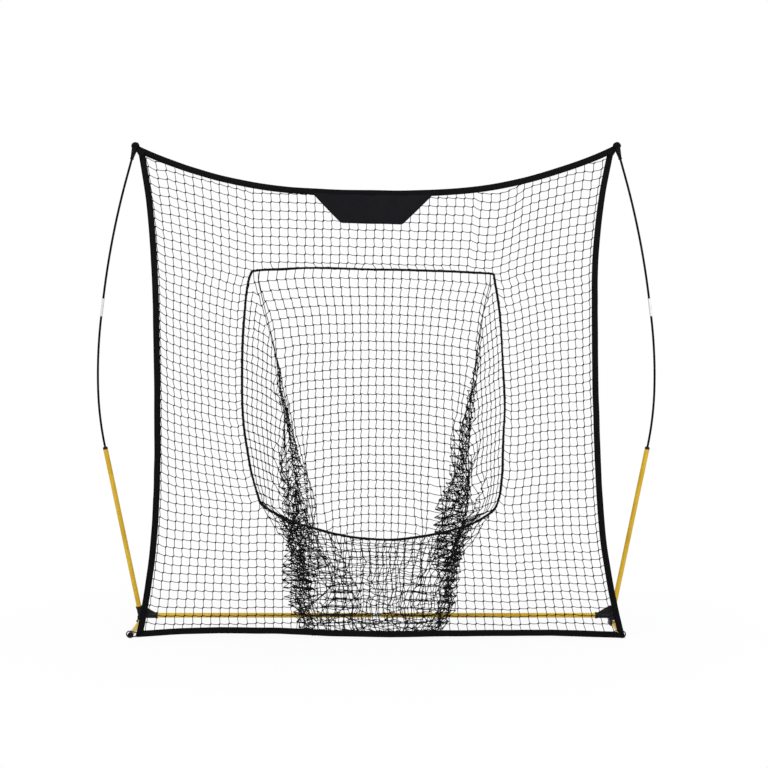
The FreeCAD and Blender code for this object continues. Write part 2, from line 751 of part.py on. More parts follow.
def rectangle(left, right, low, high):
    edges = [line((left, low), (right, low)), line((right, low), (right, high)),
             line((right, high), (left, high)), line((left, high), (left, low))]
    return plane_face(edges)


def above_bottom(inset):
    return rectangle(-FIELD, FIELD, size("bottom_height") + inset, FIELD)


def net_region(inset):
    return below_top(inset).common(inside_sides(inset)).common(above_bottom(inset))


def mouth_face(growth):
    """Target mouth: straight top, bowed sides and a hanging bottom, with rounded corners."""
    top = size("mouth_top") + growth
    top_half = size("mouth_top_half") + growth
    middle_half = size("mouth_middle_half") + growth
    low_half = size("mouth_corner_half") + growth
    low = size("mouth_corner") - growth / 2
    bottom = size("mouth_bottom") - growth
    middle = size("mouth_middle")
    edges = [
        line((-top_half, top), (top_half, top)),
        arc((top_half, top), (middle_half, middle), (low_half, low)),
        arc((low_half, low), (0, bottom), (-low_half, low)),
        arc((-low_half, low), (-middle_half, middle), (-top_half, top)),
    ]
    depth = size("rope_diameter")
    block = plane_face(edges).extrude(V(0, 0, depth))
    upright_edges = [edge for edge in block.Edges if edge.BoundBox.ZLength > depth / 2]
    rounded = block.makeFillet(size("mouth_rounding") + growth, upright_edges)
    flat = [face for face in rounded.Faces if abs(face.CenterOfMass.z) < 1e-6]
    return Part.Face(flat[0].OuterWire)


def clear_of_boots(face):
    """Takes the room of the two boots and their hoods off an outline in the net plane."""
    hood = size("hood_gap") + size("webbing_thickness")
    radius = size("boot_radius") + hood + size("sewing_gap")
    for side in (-1, 1):
        circle = Part.Circle(V(side * boot_middle.x, boot_height, 0), Z_AXIS, radius)
        face = face.cut(plane_face([circle.toShape()]))
    return face


def make_webbing():
    width = size("webbing_width")
    whole = clear_of_boots(net_region(0))
    top = whole.cut(below_top(width))
    bottom = whole.cut(above_bottom(width))
    sides = whole.common(below_top(width)).common(above_bottom(width)).cut(inside_sides(width))
    thickness = size("webbing_thickness")
    for band, label in ((top, "webbing_top"), (bottom, "webbing_bottom")):
        net_item(label + "_strap", sheet_of(largest(band.Faces), thickness), label)
    for face in sides.Faces:
        label = "webbing_right" if face.CenterOfMass.x > 0 else "webbing_left"
        net_item(label + "_strap", sheet_of(face, thickness), label)


def gap_faces(inner):
    """Square gaps of the netting, clipped by the panel's own border strands."""
    pitch = size("mesh_pitch") * size("meshes_per_gap")
    open_side = pitch - size("strand_width")
    bounds = inner.BoundBox
    cells = []
    columns = range(math.floor(bounds.XMin / pitch) - 1, math.ceil(bounds.XMax / pitch) + 1)
    rows = range(math.floor(bounds.YMin / pitch) - 1, math.ceil(bounds.YMax / pitch) + 1)
    for column in columns:
        for row_index in rows:
            x = (column + 0.5) * pitch - open_side / 2
            y = (row_index + 0.5) * pitch - open_side / 2
            cells.append(Part.makePlane(open_side, open_side, V(x, y, 0)))
    clipped = inner.common(Part.makeCompound(cells))
    smallest = size("smallest_gap_share") * open_side ** 2
    return [face for face in clipped.Faces if face.Area > smallest]


def make_netting():
    """One net, split into panels of which none reaches round the mouth."""
    width = size("webbing_width")
    strand = size("strand_width")
    rope_room = size("rope_diameter") / 2 + size("sewing_gap")
    gap_pitch = size("mesh_pitch") * size("meshes_per_gap")
    high = size("mouth_top") + rope_room
    low = round(size("mouth_corner") / gap_pitch) * gap_pitch
    flank = size("middle_gaps") * gap_pitch
    zones = {
        "net_top": (-FIELD, FIELD, high, FIELD),
        "net_left": (-FIELD, 0, low, high),
        "net_right": (0, FIELD, low, high),
        "net_bottom": (-flank, flank, -FIELD, low),
        "net_low_left": (-FIELD, -flank, -FIELD, low),
        "net_low_right": (flank, FIELD, -FIELD, low),
    }
    sheet_face = net_region(width).cut(mouth_face(rope_room))
    inner_face = net_region(width + strand).cut(mouth_face(rope_room + strand))
    border = strand / 2
    gaps = 0
    for label, (left, right, foot, head) in zones.items():
        panel = largest(sheet_face.common(rectangle(left, right, foot, head)).Faces)
        inner_zone = rectangle(left, right, foot + border, head - border)
        holes = gap_faces(inner_face.common(inner_zone))
        gaps += len(holes)
        net = panel.cut(Part.makeCompound(holes))
        net_item(label + "_mesh", sheet_of(net.Faces[0], size("net_thickness")), label)
    print("gaps in the netting", gaps)


def make_mouth_rope():
    path = mouth_face(0).OuterWire
    start = path.Edges[0].valueAt(path.Edges[0].FirstParameter)
    heading = path.Edges[0].tangentAt(path.Edges[0].FirstParameter)
    section = Part.Wire(Part.Circle(start, heading, size("rope_diameter") / 2).toShape())
    rope = path.makePipeShell([section], True, False)
    expected = math.pi * (size("rope_diameter") / 2) ** 2 * path.Length
    print("mouth rope length", round(path.Length), "volume ratio",
          round(rope.Volume / expected, 4))
    net_item("mouth_rope_sweep", rope, "mouth_rope")


def make_banner():
    top_half = size("banner_top_half")
    low_half = size("banner_bottom_half")
    low = sag_height - size("banner_depth")
    high = top_height(top_half)
    edges = [line((-low_half, low), (low_half, low)), line((low_half, low), (top_half, high)),
             line((top_half, high), (-top_half, high)), line((-top_half, high), (-low_half, low))]
    outline = plane_face(edges).common(below_top(size("webbing_width")))
    thickness = size("banner_thickness")
    offset = (size("net_thickness") + thickness) / 2 + size("sewing_gap")
    net_item("banner_panel", sheet_of(largest(outline.Faces), thickness, offset), "banner")


# Catching pocket: a bag behind the mouth that narrows towards the floor

def net_plane_y(height):
    return net_foot_y + height * math.tan(net_pitch)


def mouth_half(height):
    """Half width of the mouth at a height, by a parabola through its three named widths."""
    heights = (size("mouth_corner"), size("mouth_middle"), size("mouth_top"))
    halves = (size("mouth_corner_half"), size("mouth_middle_half"), size("mouth_top_half"))
    total = 0.0
    for i in range(3):
        term = halves[i]
        for j in range(3):
            if j != i:
                term *= (height - heights[j]) / (heights[i] - heights[j])
        total += term
    return total


def blend_between(height, low, high, low_value, high_value):
    share = (height - low) / (high - low)
    return low_value + share * (high_value - low_value)


def pocket_half_widths(height):
    """Half widths of the pocket's front and back at a height."""
    foot = size("pocket_floor_gap")
    corner_height = size("mouth_corner")
    gap = size("pocket_side_gap")
    if height >= corner_height:
        back = blend_between(height, corner_height, size("mouth_top"),
                             size("pocket_back_corner_half"), size("pocket_back_top_half"))
        return mouth_half(height) - gap, back
    front = blend_between(height, foot, corner_height, size("pocket_front_foot_half"),
                          size("mouth_corner_half") - gap)
    back = blend_between(height, foot, corner_height, size("pocket_back_foot_half"),
                         size("pocket_back_corner_half"))
    return front, back


def pocket_front_y(height):
    return net_plane_y(height) + size("rope_diameter") / 2 + size("sewing_gap")


def pocket_back_y(height):
    foot_y = -tube_radius - size("pocket_bar_gap")
    top_y = net_plane_y(size("mouth_top")) + size("pocket_top_depth")
    return blend_between(height, size("pocket_floor_gap"), size("mouth_top"), foot_y, top_y)


def pocket_section(height, wall, sample):
    front_half, back_half = pocket_half_widths(sample)
    front_y = pocket_front_y(sample) + wall
    back_y = pocket_back_y(sample) - wall
    corners = [V(-front_half + wall, front_y, height), V(front_half - wall, front_y, height),
               V(back_half - wall, back_y, height), V(-back_half + wall, back_y, height)]
    return Part.makePolygon(corners + [corners[0]])


def section_heights():
    """Heights at which the bag's outline is set, from its floor to its top."""
    corner_height = size("mouth_corner")
    top = size("mouth_top") - size("rope_diameter")
    middle = size("mouth_middle")
    return [size("pocket_floor_gap"), corner_height, (corner_height + middle) / 2, middle,
            (middle + top) / 2, top]


def pocket_loft(wall):
    heights = section_heights()
    sections = []
    for index, height in enumerate(heights):
        lift = wall if index == 0 else (-wall if index == len(heights) - 1 else 0)
        sections.append(pocket_section(height + lift, wall, height + lift))
    return Part.makeLoft(sections, True, True)


def space_behind(plane_y, offset):
    """All the space behind a sloping plane; plane_y gives the plane's y at a height."""
    corners = [V(-FIELD, plane_y(height) + offset, height) for height in (-FIELD, FIELD)]
    corners += [V(-FIELD, 2 * FIELD, FIELD), V(-FIELD, 2 * FIELD, -FIELD)]
    side_view = Part.Face(Part.makePolygon(corners + [corners[0]]))
    return side_view.extrude(V(2 * FIELD, 0, 0))


def space_over(height):
    return Part.makeBox(2 * FIELD, 2 * FIELD, FIELD, V(-FIELD, -FIELD, height))


def pocket_bag():
    wall = size("pocket_wall")
    outer = pocket_loft(0)
    inner = pocket_loft(wall)
    depth = size("rope_diameter") / 2 + size("sewing_gap") + wall + size("seat_gap")
    mouth = mouth_face(0).extrude(V(0, 0, 2 * depth))
    mouth.translate(V(0, 0, -depth))
    mouth.Placement = NET_PLACE.multiply(mouth.Placement)
    shell = outer.cut(inner).cut(mouth)
    # The cut can leave specks where the mouth meets the sides, so only the bag is kept
    return max(shell.Solids, key=lambda solid: solid.Volume)


def row_heights():
    """Foot and head of each row of gaps; no row crosses an edge between two of the loft's walls."""
    edge = size("pocket_wall") + size("pocket_border")
    trim = size("strand_width") / 2
    heights = section_heights()
    heights.insert(1, (heights[0] + heights[1]) / 2)
    rows = [[low + trim, high - trim] for low, high in zip(heights, heights[1:])]
    rows[0][0] = heights[0] + edge
    rows[-1][1] = heights[-1] - edge
    return rows


def spans(start, end, count):
    """Gaps of equal width between two edges, one strand apart."""
    strand = size("strand_width")
    wide = (end - start - (count - 1) * strand) / count
    return [(start + i * (wide + strand), start + i * (wide + strand) + wide)
            for i in range(count)]


def back_gaps():
    """Gaps through the bag's back, as blocks that run along Y."""
    border = size("pocket_border")
    blocks = []
    for foot, head in row_heights():
        half = min(pocket_half_widths(foot)[1], pocket_half_widths(head)[1]) - border
        for left, right in spans(-half, half, int(size("pocket_back_gaps"))):
            blocks.append(Part.makeBox(right - left, 2 * FIELD, head - foot,
                                       V(left, -FIELD, foot)))
    return Part.makeCompound(blocks)


def side_gaps():
    """Gaps through the bag's sides, as blocks that run along X."""
    border = size("pocket_border") + size("pocket_wall")
    blocks = []
    for foot, head in row_heights():
        front = pocket_front_y(head) + border
        back = pocket_back_y(head) - border
        deep = back - front
        count = max(1, round(deep / size("pocket_gap_width")))
        if deep > 2 * border:
            for near, far in spans(front, back, count):
                blocks.append(Part.makeBox(2 * FIELD, far - near, head - foot,
                                           V(-FIELD, near, foot)))
    return Part.makeCompound(blocks)


def make_pocket():
    """The bag is sewn of five panels: floor, back with the top edge, front and two sides."""
    wall = size("pocket_wall")
    bag = pocket_bag()
    over_floor = space_over(size("pocket_floor_gap") + wall)
    behind_room = space_behind(pocket_back_y, -wall)
    behind_front = space_behind(pocket_front_y, wall)
    top_edge = space_over(size("mouth_top") - size("rope_diameter") - wall)
    walls = bag.common(over_floor)
    back_room = behind_room.fuse(top_edge)
    around = walls.cut(back_room)
    sides = around.common(behind_front)
    panels = {"pocket_floor": bag.cut(over_floor), "target_pocket": walls.common(back_room),
              "pocket_front": around.cut(behind_front)}
    for solid in sides.Solids:
        stem = "pocket_right" if solid.CenterOfMass.x > 0 else "pocket_left"
        panels[stem] = solid
    gaps = {"target_pocket": back_gaps(), "pocket_left": side_gaps(), "pocket_right": side_gaps()}
    for label, shape in panels.items():
        panel = max(shape.Solids, key=lambda solid: solid.Volume)
        if label in gaps:
            panel = panel.cut(gaps[label]).Solids[0]
        finish(feature(label + "_panel", panel), label)
    print("gaps in the pocket", sum(len(blocks.Solids) for blocks in gaps.values()))


# Hoods at the upper corners and elastic loops at the lower ones

def make_corner_ties():
    """A hood of folded webbing lies over each boot and holds the net's upper corner."""
    wide = size("corner_tab_width")
    normal_turn = NET_TURN * ROT(Z_AXIS, size("hood_start"))
    seat = NET_PLACE.multVec(V(boot_middle.x, boot_height, -wide / 2))
    clear = "Sizes.boot_radius + Sizes.hood_gap"
    outer = cylinder("hood_outer", clear + " + Sizes.webbing_thickness",
                     "Sizes.corner_tab_width", PLACE(seat, normal_turn))
    inner = cylinder("hood_inner", clear, "Sizes.corner_tab_width", PLACE(seat, normal_turn))
    bind(outer, Angle="Sizes.hood_sweep")
    both_sides(cut("hood_band", outer, [inner]), "corner_tab")

    loop = doc.addObject("Part::Torus", "corner_loop_ring")
    bind(loop, Radius1="Sizes.loop_radius", Radius2="Sizes.loop_cord / 2")
    loop.Placement = PLACE(V(foot_tip_x, foot_tip_y - size("loop_front_gap"),
                             size("loop_height")), ROT(X_AXIS, size("loop_tilt") - 180))
    both_sides(loop, "corner_loop")


def check_model():
    for item in doc.Objects:
        faults = [state for state in item.State if state in ("Invalid", "Error")]
        if faults:
            raise RuntimeError(f"{item.Label}: {faults} {item.getStatusString()}")
    for item in sub_parts:
        shape = item.Shape
        if shape.isNull() or not shape.isValid() or not shape.Solids:
            raise RuntimeError(f"{item.Label}: bad shape")


def write_steps():
    os.makedirs("parts", exist_ok=True)
    for item in sub_parts:
        item.Shape.exportStep(f"parts/{item.Label}.step")


make_crossbar()
make_elbow()
make_pins()
make_feet()
make_uprights()
make_poles()
make_webbing()
make_netting()
make_mouth_rope()
make_banner()
make_pocket()
make_corner_ties()
doc.recompute()
check_model()
write_steps()
print("sub-parts", len(sub_parts), "solids", sum(len(item.Shape.Solids) for item in sub_parts))
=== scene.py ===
import bmesh
import bpy
import json
import math
import numpy as np
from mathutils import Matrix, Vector, noise


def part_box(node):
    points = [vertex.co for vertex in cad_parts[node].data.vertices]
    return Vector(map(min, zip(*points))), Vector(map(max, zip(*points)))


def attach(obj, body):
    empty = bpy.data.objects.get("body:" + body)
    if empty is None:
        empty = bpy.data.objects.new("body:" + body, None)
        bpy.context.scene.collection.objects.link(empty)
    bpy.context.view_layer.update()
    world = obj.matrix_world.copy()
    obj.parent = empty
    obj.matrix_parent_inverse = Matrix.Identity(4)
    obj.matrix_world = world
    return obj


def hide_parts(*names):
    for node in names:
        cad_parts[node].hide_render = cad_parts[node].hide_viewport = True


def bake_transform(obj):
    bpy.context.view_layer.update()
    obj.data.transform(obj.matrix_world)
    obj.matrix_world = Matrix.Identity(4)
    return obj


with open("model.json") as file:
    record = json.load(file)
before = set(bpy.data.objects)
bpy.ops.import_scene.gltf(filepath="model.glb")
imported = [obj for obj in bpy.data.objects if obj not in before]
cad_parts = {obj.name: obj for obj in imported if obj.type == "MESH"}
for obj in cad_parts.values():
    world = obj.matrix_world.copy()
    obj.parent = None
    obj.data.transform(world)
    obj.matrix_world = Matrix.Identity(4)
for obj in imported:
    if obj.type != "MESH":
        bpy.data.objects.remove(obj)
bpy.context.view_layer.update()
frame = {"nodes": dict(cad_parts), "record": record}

# Noise vectors take their offsets from the clock where no seed is set
NOISE_SEED = 1795623538
noise.seed_set(NOISE_SEED)

MM = 0.001
# A wave texture of scale s repeats every 0.318 / s
WAVE = 0.318

# The photograph's camera: its place, and its lens and sensor in millimetres
CAMERA_PLACE = (0.035, -6.78, 1.11)
CAMERA_LENS = 68.8
CAMERA_SENSOR = 36

# Sizes in metres that the netting shares with the source
NET_FOOT_Y = -0.380
NET_PITCH = 0.03296
BOOT_MIDDLE = Vector((1.0611, -0.3088, 2.1588))
SAG_HEIGHT = 1.9643
TOP_MIDDLE_HALF = 0.33
TOP_MIDDLE_RADIUS = 5.0
TOP_OUTER_RADIUS = 2.0
SIDE_HALF_WIDTH = 0.973
SIDE_LOW_TANGENT = 0.69
SIDE_LOW_RADIUS = 2.65
SIDE_HIGH_TANGENT = 1.4243
SIDE_HIGH_RADIUS = 3.4
BOTTOM_HEIGHT = 0.014
CORNER_TOP = 2.142
CORNER_HALF = 1.049
WEBBING_WIDTH = 0.0275
WEBBING_THICKNESS = 0.0025
# How far the netting reaches under the straps' inner edge
STRAP_COVER = 0.008
MESH = 0.0381
# Drawn thicker than real twine of 2 to 2.5 mm, so that it shows as dark as in the photograph
TWINE = 0.0032
KNOT_SHARE = 2.1
ROPE = 0.0105

# The net's grid of meshes, counted on the photograph. The mouth pulls it into three parts: two
# side panels and the part over the mouth, with a kink in every row where they meet
NET_COLUMNS = 54
NET_ROWS = 54
LEFT_KINK = 13
RIGHT_KINK = 41
LEFT_CELLS = 12.4
RIGHT_CELLS = 12.6


def on_net(across, height, forward=0.0):
    """Place on the net's plane; forward is towards the pitcher."""
    return Vector((across,
                   NET_FOOT_Y + height * math.sin(NET_PITCH) - forward * math.cos(NET_PITCH),
                   height * math.cos(NET_PITCH) + forward * math.sin(NET_PITCH)))


def mix(low, high, share):
    return low + (high - low) * share


def follow(table, height, column):
    """Value of one column of a table of rows that start with a height, highest row first."""
    if height >= table[0][0]:
        return table[0][column]
    for upper, lower in zip(table, table[1:]):
        if height >= lower[0]:
            share = (height - lower[0]) / (upper[0] - lower[0])
            return mix(lower[column], upper[column], share)
    return table[-1][column]


def wander(place, scale, amount):
    """Small shift that changes smoothly over about one scale."""
    return noise.noise_vector(place / scale) * amount


# Camera and studio

def set_camera():
    camera = bpy.data.cameras.new("photo_camera")
    camera.lens = CAMERA_LENS
    camera.sensor_width = CAMERA_SENSOR
    camera.clip_end = 200
    holder = bpy.data.objects.new("photo_camera", camera)
    holder.location = CAMERA_PLACE
    holder.rotation_euler = (math.radians(90), 0, 0)
    bpy.context.scene.collection.objects.link(holder)
    bpy.context.scene.camera = holder


# Node and colour helpers

def hex_colour(text):
    """Linear colour of an sRGB hex value."""
    parts = [int(text[i:i + 2], 16) / 255 for i in (0, 2, 4)]
    return [p / 12.92 if p <= 0.04045 else ((p + 0.055) / 1.055) ** 2.4 for p in parts] + [1]


def add(tree, kind, inputs=None, **settings):
    """Adds a node; an input is a value, or a link where another node's socket is given."""
    made = tree.nodes.new(kind)
    for name, value in settings.items():
        setattr(made, name, value)
    for name, value in (inputs or {}).items():
        if isinstance(value, bpy.types.NodeSocket):
            tree.links.new(value, made.inputs[name])
        else:
            made.inputs[name].default_value = value
    return made


def new_material(name, cloth=False):
    """An empty material, its tree, and coordinates in metres: the cloth's, or the object's own."""
    made = bpy.data.materials.new(name)
    made.use_nodes = True
    tree = made.node_tree
    tree.nodes.clear()
    if cloth:
        return made, tree, add(tree, "ShaderNodeUVMap", uv_map="cloth").outputs["UV"]
    return made, tree, add(tree, "ShaderNodeTexCoord").outputs["Object"]


def finish(made, share, dark, light, roughness, relief=None, shine=None):
    """What all finishes end with: two colours mixed by a pattern's share, a roughness that is one
    value or a pattern with its low and high end, a relief that is a pattern with its depth in
    millimetres, and the shader's other values."""
    tree = made.node_tree
    colour = add(tree, "ShaderNodeMix", {0: share, 6: hex_colour(dark), 7: hex_colour(light)},
                 data_type="RGBA")
    inputs = {"Base Color": colour.outputs[2], "Roughness": roughness, **(shine or {})}
    if isinstance(roughness, tuple):
        pattern, low, high = roughness
        gloss = add(tree, "ShaderNodeMapRange", {"Value": pattern, "To Min": low, "To Max": high})
        inputs["Roughness"] = gloss.outputs["Result"]
    if relief:
        pattern, depth = relief
        skin = add(tree, "ShaderNodeBump", {"Height": pattern, "Distance": depth * MM})
        inputs["Normal"] = skin.outputs["Normal"]
    shader = add(tree, "ShaderNodeBsdfPrincipled", inputs)
    add(tree, "ShaderNodeOutputMaterial", {"Surface": shader.outputs["BSDF"]})
    return made


# Rigid finishes

def powder_coat():
    """Polyester powder coat baked on steel tube: satin, with a faint orange peel and scuffs."""
    made, tree, place = new_material("powder_coated_steel")
    along = add(tree, "ShaderNodeMapping", {"Vector": place, "Scale": (1, 1, 0.15)})
    cloud = add(tree, "ShaderNodeTexNoise", {"Vector": place, "Scale": 1 / (90 * MM)})
    peel = add(tree, "ShaderNodeTexNoise", {"Vector": place, "Scale": 1 / (2.2 * MM), "Detail": 1})
    scuff = add(tree, "ShaderNodeTexNoise", {"Vector": along.outputs["Vector"],
                                             "Scale": 1 / (6 * MM), "Detail": 6})
    thin = add(tree, "ShaderNodeMapRange", {"Value": cloud.outputs["Fac"],
                                            "From Min": 0.3, "From Max": 0.7})
    return finish(made, thin.outputs["Result"], "CCA114", "DAB226",
                  (scuff.outputs["Fac"], 0.24, 0.46), (peel.outputs["Fac"], 0.12),
                  {"Specular IOR Level": 0.3, "Coat Weight": 0.1, "Coat Roughness": 0.2})


def bare_steel():
    """Drawn mild steel tube left bare where the halves join: grey, with draw lines along it."""
    made, tree, place = new_material("drawn_steel")
    drawn = add(tree, "ShaderNodeMapping", {"Vector": place, "Scale": (0.02, 1, 1)})
    lines = add(tree, "ShaderNodeTexNoise", {"Vector": drawn.outputs["Vector"],
                                             "Scale": 1 / (0.8 * MM), "Detail": 4}).outputs["Fac"]
    return finish(made, lines, "B5B0A5", "DCD8CE", (lines, 0.3, 0.48), (lines, 0.04),
                  {"Metallic": 0.9})


def zinc_plate():
    """Zinc-plated turned steel: pale, slightly blue, with a clouded passivated layer."""
    made, tree, place = new_material("zinc_plated_steel")
    cloud = add(tree, "ShaderNodeTexNoise", {"Vector": place, "Scale": 1 / (4 * MM),
                                             "Detail": 3}).outputs["Fac"]
    return finish(made, cloud, "AEB3B6", "D8D8D0", (cloud, 0.2, 0.42), None, {"Metallic": 1})


def spring_steel():
    """Blued spring strip: dark and even from hardening, with rolling lines along it."""
    made, tree, place = new_material("blued_spring_steel")
    rolled = add(tree, "ShaderNodeMapping", {"Vector": place, "Scale": (0.05, 1, 1)})
    lines = add(tree, "ShaderNodeTexNoise", {"Vector": rolled.outputs["Vector"],
                                             "Scale": 1 / (1 * MM)}).outputs["Fac"]
    return finish(made, lines, "43464F", "62646E", 0.38, None, {"Metallic": 1})


def moulded_nylon():
    """Glass-filled nylon from a spark-eroded mould: matt black with a fine even texture."""
    made, tree, place = new_material("moulded_nylon")
    eroded = add(tree, "ShaderNodeTexNoise", {"Vector": place,
                                              "Scale": 1 / (1.1 * MM)}).outputs["Fac"]
    flow = add(tree, "ShaderNodeTexNoise", {"Vector": place, "Scale": 1 / (30 * MM),
                                            "Detail": 3}).outputs["Fac"]
    return finish(made, flow, "0C0C0E", "19191C", (eroded, 0.4, 0.62), (eroded, 0.1),
                  {"Specular IOR Level": 0.15})


def dipped_vinyl():
    """Soft PVC end caps, dip-moulded: black, dulled where they rub on the ground."""
    made, tree, place = new_material("dipped_vinyl")
    smear = add(tree, "ShaderNodeTexNoise", {"Vector": place, "Scale": 1 / (8 * MM),
                                             "Detail": 4}).outputs["Fac"]
    return finish(made, smear, "09090A", "161618", (smear, 0.5, 0.75), (smear, 0.15),
                  {"Specular IOR Level": 0.08})


def moulded_rubber():
    """Compression-moulded rubber boots: dull black with a dusty bloom."""
    made, tree, place = new_material("moulded_rubber")
    dust = add(tree, "ShaderNodeTexNoise", {"Vector": place, "Scale": 1 / (5 * MM),
                                            "Detail": 5}).outputs["Fac"]
    bloom = add(tree, "ShaderNodeMapRange", {"Value": dust, "From Min": 0.35, "From Max": 0.75})
    return finish(made, bloom.outputs["Result"], "0C0C0D", "1C1C1E", 0.74, (dust, 0.1),
                  {"Specular IOR Level": 0.06})


def pultruded_rod():
    """Pultruded glass-fibre rod with a black resin skin: glossy, faint fibre lines along it."""
    made, tree, place = new_material("pultruded_glass_fibre")
    along = add(tree, "ShaderNodeMapping", {"Vector": place, "Scale": (1, 1, 0.02)})
    fibres = add(tree, "ShaderNodeTexNoise", {"Vector": along.outputs["Vector"],
                                              "Scale": 1 / (0.6 * MM), "Detail": 3}).outputs["Fac"]
    return finish(made, fibres, "040404", "0B0B0C", (fibres, 0.2, 0.36), (fibres, 0.03),
                  {"Specular IOR Level": 0.05, "Coat Weight": 0.02})


def anodised_sleeve():
    """Clear-anodised aluminium ferrule: pale silver with fine turned rings."""
    made, tree, place = new_material("anodised_aluminium")
    turned = add(tree, "ShaderNodeMapping", {"Vector": place, "Scale": (0.1, 0.1, 1)})
    rings = add(tree, "ShaderNodeTexNoise", {"Vector": turned.outputs["Vector"],
                                             "Scale": 1 / (1.2 * MM)}).outputs["Fac"]
    return finish(made, rings, "CFD0D4", "E9E9EB", (rings, 0.32, 0.48), (rings, 0.03),
                  {"Metallic": 0.85})


# Cloth finishes

def crossed_threads(tree, place, rib, cord, wobble=0.0):
    """Height of a weave whose threads across and along it have pitches in millimetres."""
    ribs = add(tree, "ShaderNodeTexWave", {"Vector": place, "Scale": WAVE / (rib * MM),
                                           "Distortion": wobble}, bands_direction="X")
    cords = add(tree, "ShaderNodeTexWave", {"Vector": place, "Scale": WAVE / (cord * MM)},
                bands_direction="Y")
    return add(tree, "ShaderNodeMath", {0: ribs.outputs["Fac"], 1: cords.outputs["Fac"]},
               operation="MULTIPLY").outputs["Value"]


def knotted_twine():
    """Twisted polyethylene twine: black, faintly glossy, its lay drawn at twice its real pitch."""
    made, tree, place = new_material("twisted_polyethylene_twine")
    lay = add(tree, "ShaderNodeTexNoise", {"Vector": place,
                                           "Scale": 1 / (2.4 * MM)}).outputs["Fac"]
    fade = add(tree, "ShaderNodeMapRange", {"Value": lay, "From Min": 0.3, "From Max": 0.75})
    return finish(made, fade.outputs["Result"], "060607", "111113", (lay, 0.45, 0.7), (lay, 0.4),
                  {"Specular IOR Level": 0.06})


def woven_webbing():
    """Polypropylene webbing: ribs across the strap at 2 mm crossed by warp cords at 1.5 mm."""
    made, tree, place = new_material("woven_polypropylene", cloth=True)
    weave = crossed_threads(tree, place, 2, 1.5, 0.6)
    fade = add(tree, "ShaderNodeTexNoise", {"Vector": place, "Scale": 1 / (50 * MM),
                                            "Detail": 4}).outputs["Fac"]
    return finish(made, fade, "060607", "0E0D10", (weave, 0.5, 0.8), (weave, 0.5),
                  {"Specular IOR Level": 0.05})


def braided_polyester():
    """Braided polyester rope: black, strands crossing every 4 to 7 mm."""
    made, tree, place = new_material("braided_polyester")
    along = add(tree, "ShaderNodeMapping", {"Vector": place, "Scale": (1, 1, 0.6)})
    strand = add(tree, "ShaderNodeTexVoronoi", {"Vector": along.outputs["Vector"],
                                                "Scale": 1 / (4.5 * MM)})
    fade = add(tree, "ShaderNodeTexNoise", {"Vector": place, "Scale": 1 / (30 * MM)})
    return finish(made, fade.outputs["Fac"], "060607", "111113", 0.7,
                  (strand.outputs["Distance"], 0.9), {"Specular IOR Level": 0.06})


def coated_oxford():
    """Polyester oxford cloth with a matt coating: near black, a soft violet cast, fine weave."""
    made, tree, place = new_material("coated_oxford_cloth", cloth=True)
    # The real weave of 0.5 mm is drawn three times coarser
    weave = crossed_threads(tree, place, 1.6, 1.6)
    fade = add(tree, "ShaderNodeTexNoise", {"Vector": place, "Scale": 1 / (60 * MM),
                                            "Detail": 4}).outputs["Fac"]
    return finish(made, fade, "0B090D", "100E13", (weave, 0.5, 0.7), (weave, 0.3),
                  {"Specular IOR Level": 0.07})


def elastic_cord():
    """Shock cord: a woven black sleeve over rubber, diamonds about 3 mm long."""
    made, tree, place = new_material("woven_shock_cord")
    diamonds = add(tree, "ShaderNodeTexVoronoi", {"Vector": place,
                                                  "Scale": 1 / (3 * MM)}).outputs["Distance"]
    return finish(made, diamonds, "0A0A0C", "1A1A1D", 0.7, (diamonds, 0.6),
                  {"Specular IOR Level": 0.3})


# Piece helpers

def link_piece(name, data, material, body):
    piece = bpy.data.objects.new(name, data)
    bpy.context.scene.collection.objects.link(piece)
    data.materials.append(material)
    if body:
        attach(piece, body)
    return piece


def cloth_piece(name, cells, place, flat, thickness, material, body):
    """Grid of quads that place(u, v) lays out, given a thickness; its map is in metres."""
    mesh = bpy.data.meshes.new(name)
    bm = bmesh.new()
    chart = bm.loops.layers.uv.new("cloth")
    bmesh.ops.create_grid(bm, x_segments=cells[0], y_segments=cells[1], size=0.5)
    for face in bm.faces:
        face.smooth = True
        for loop in face.loops:
            spot = loop.vert.co
            loop[chart].uv = ((spot.x + 0.5) * flat[0], (spot.y + 0.5) * flat[1])
    for vert in bm.verts:
        vert.co = place(vert.co.x + 0.5, vert.co.y + 0.5)
    bm.normal_update()
    bmesh.ops.solidify(bm, geom=bm.faces[:], thickness=thickness)
    bmesh.ops.recalc_face_normals(bm, faces=bm.faces[:])
    bm.to_mesh(mesh)
    bm.free()
    return link_piece(name, mesh, material, body)


def line_piece(name, lines, radius, material, body, kind="POLY", closed=False, sides=1):
    """Curve with a round section; each point of a line is a place and a share of the radius."""
    data = bpy.data.curves.new(name, "CURVE")
    data.dimensions = "3D"
    data.bevel_depth = radius
    data.bevel_resolution = sides
    data.resolution_u = 4
    data.use_fill_caps = not closed
    for line in lines:
        spline = data.splines.new(kind)
        spline.points.add(len(line) - 1)
        for point, (spot, share) in zip(spline.points, line):
            point.co = (*spot, 1)
            point.radius = share
        spline.use_cyclic_u = closed
        if kind == "NURBS":
            spline.order_u = 3
            spline.use_endpoint_u = not closed
        spline.use_smooth = True
    return link_piece(name, data, material, body)


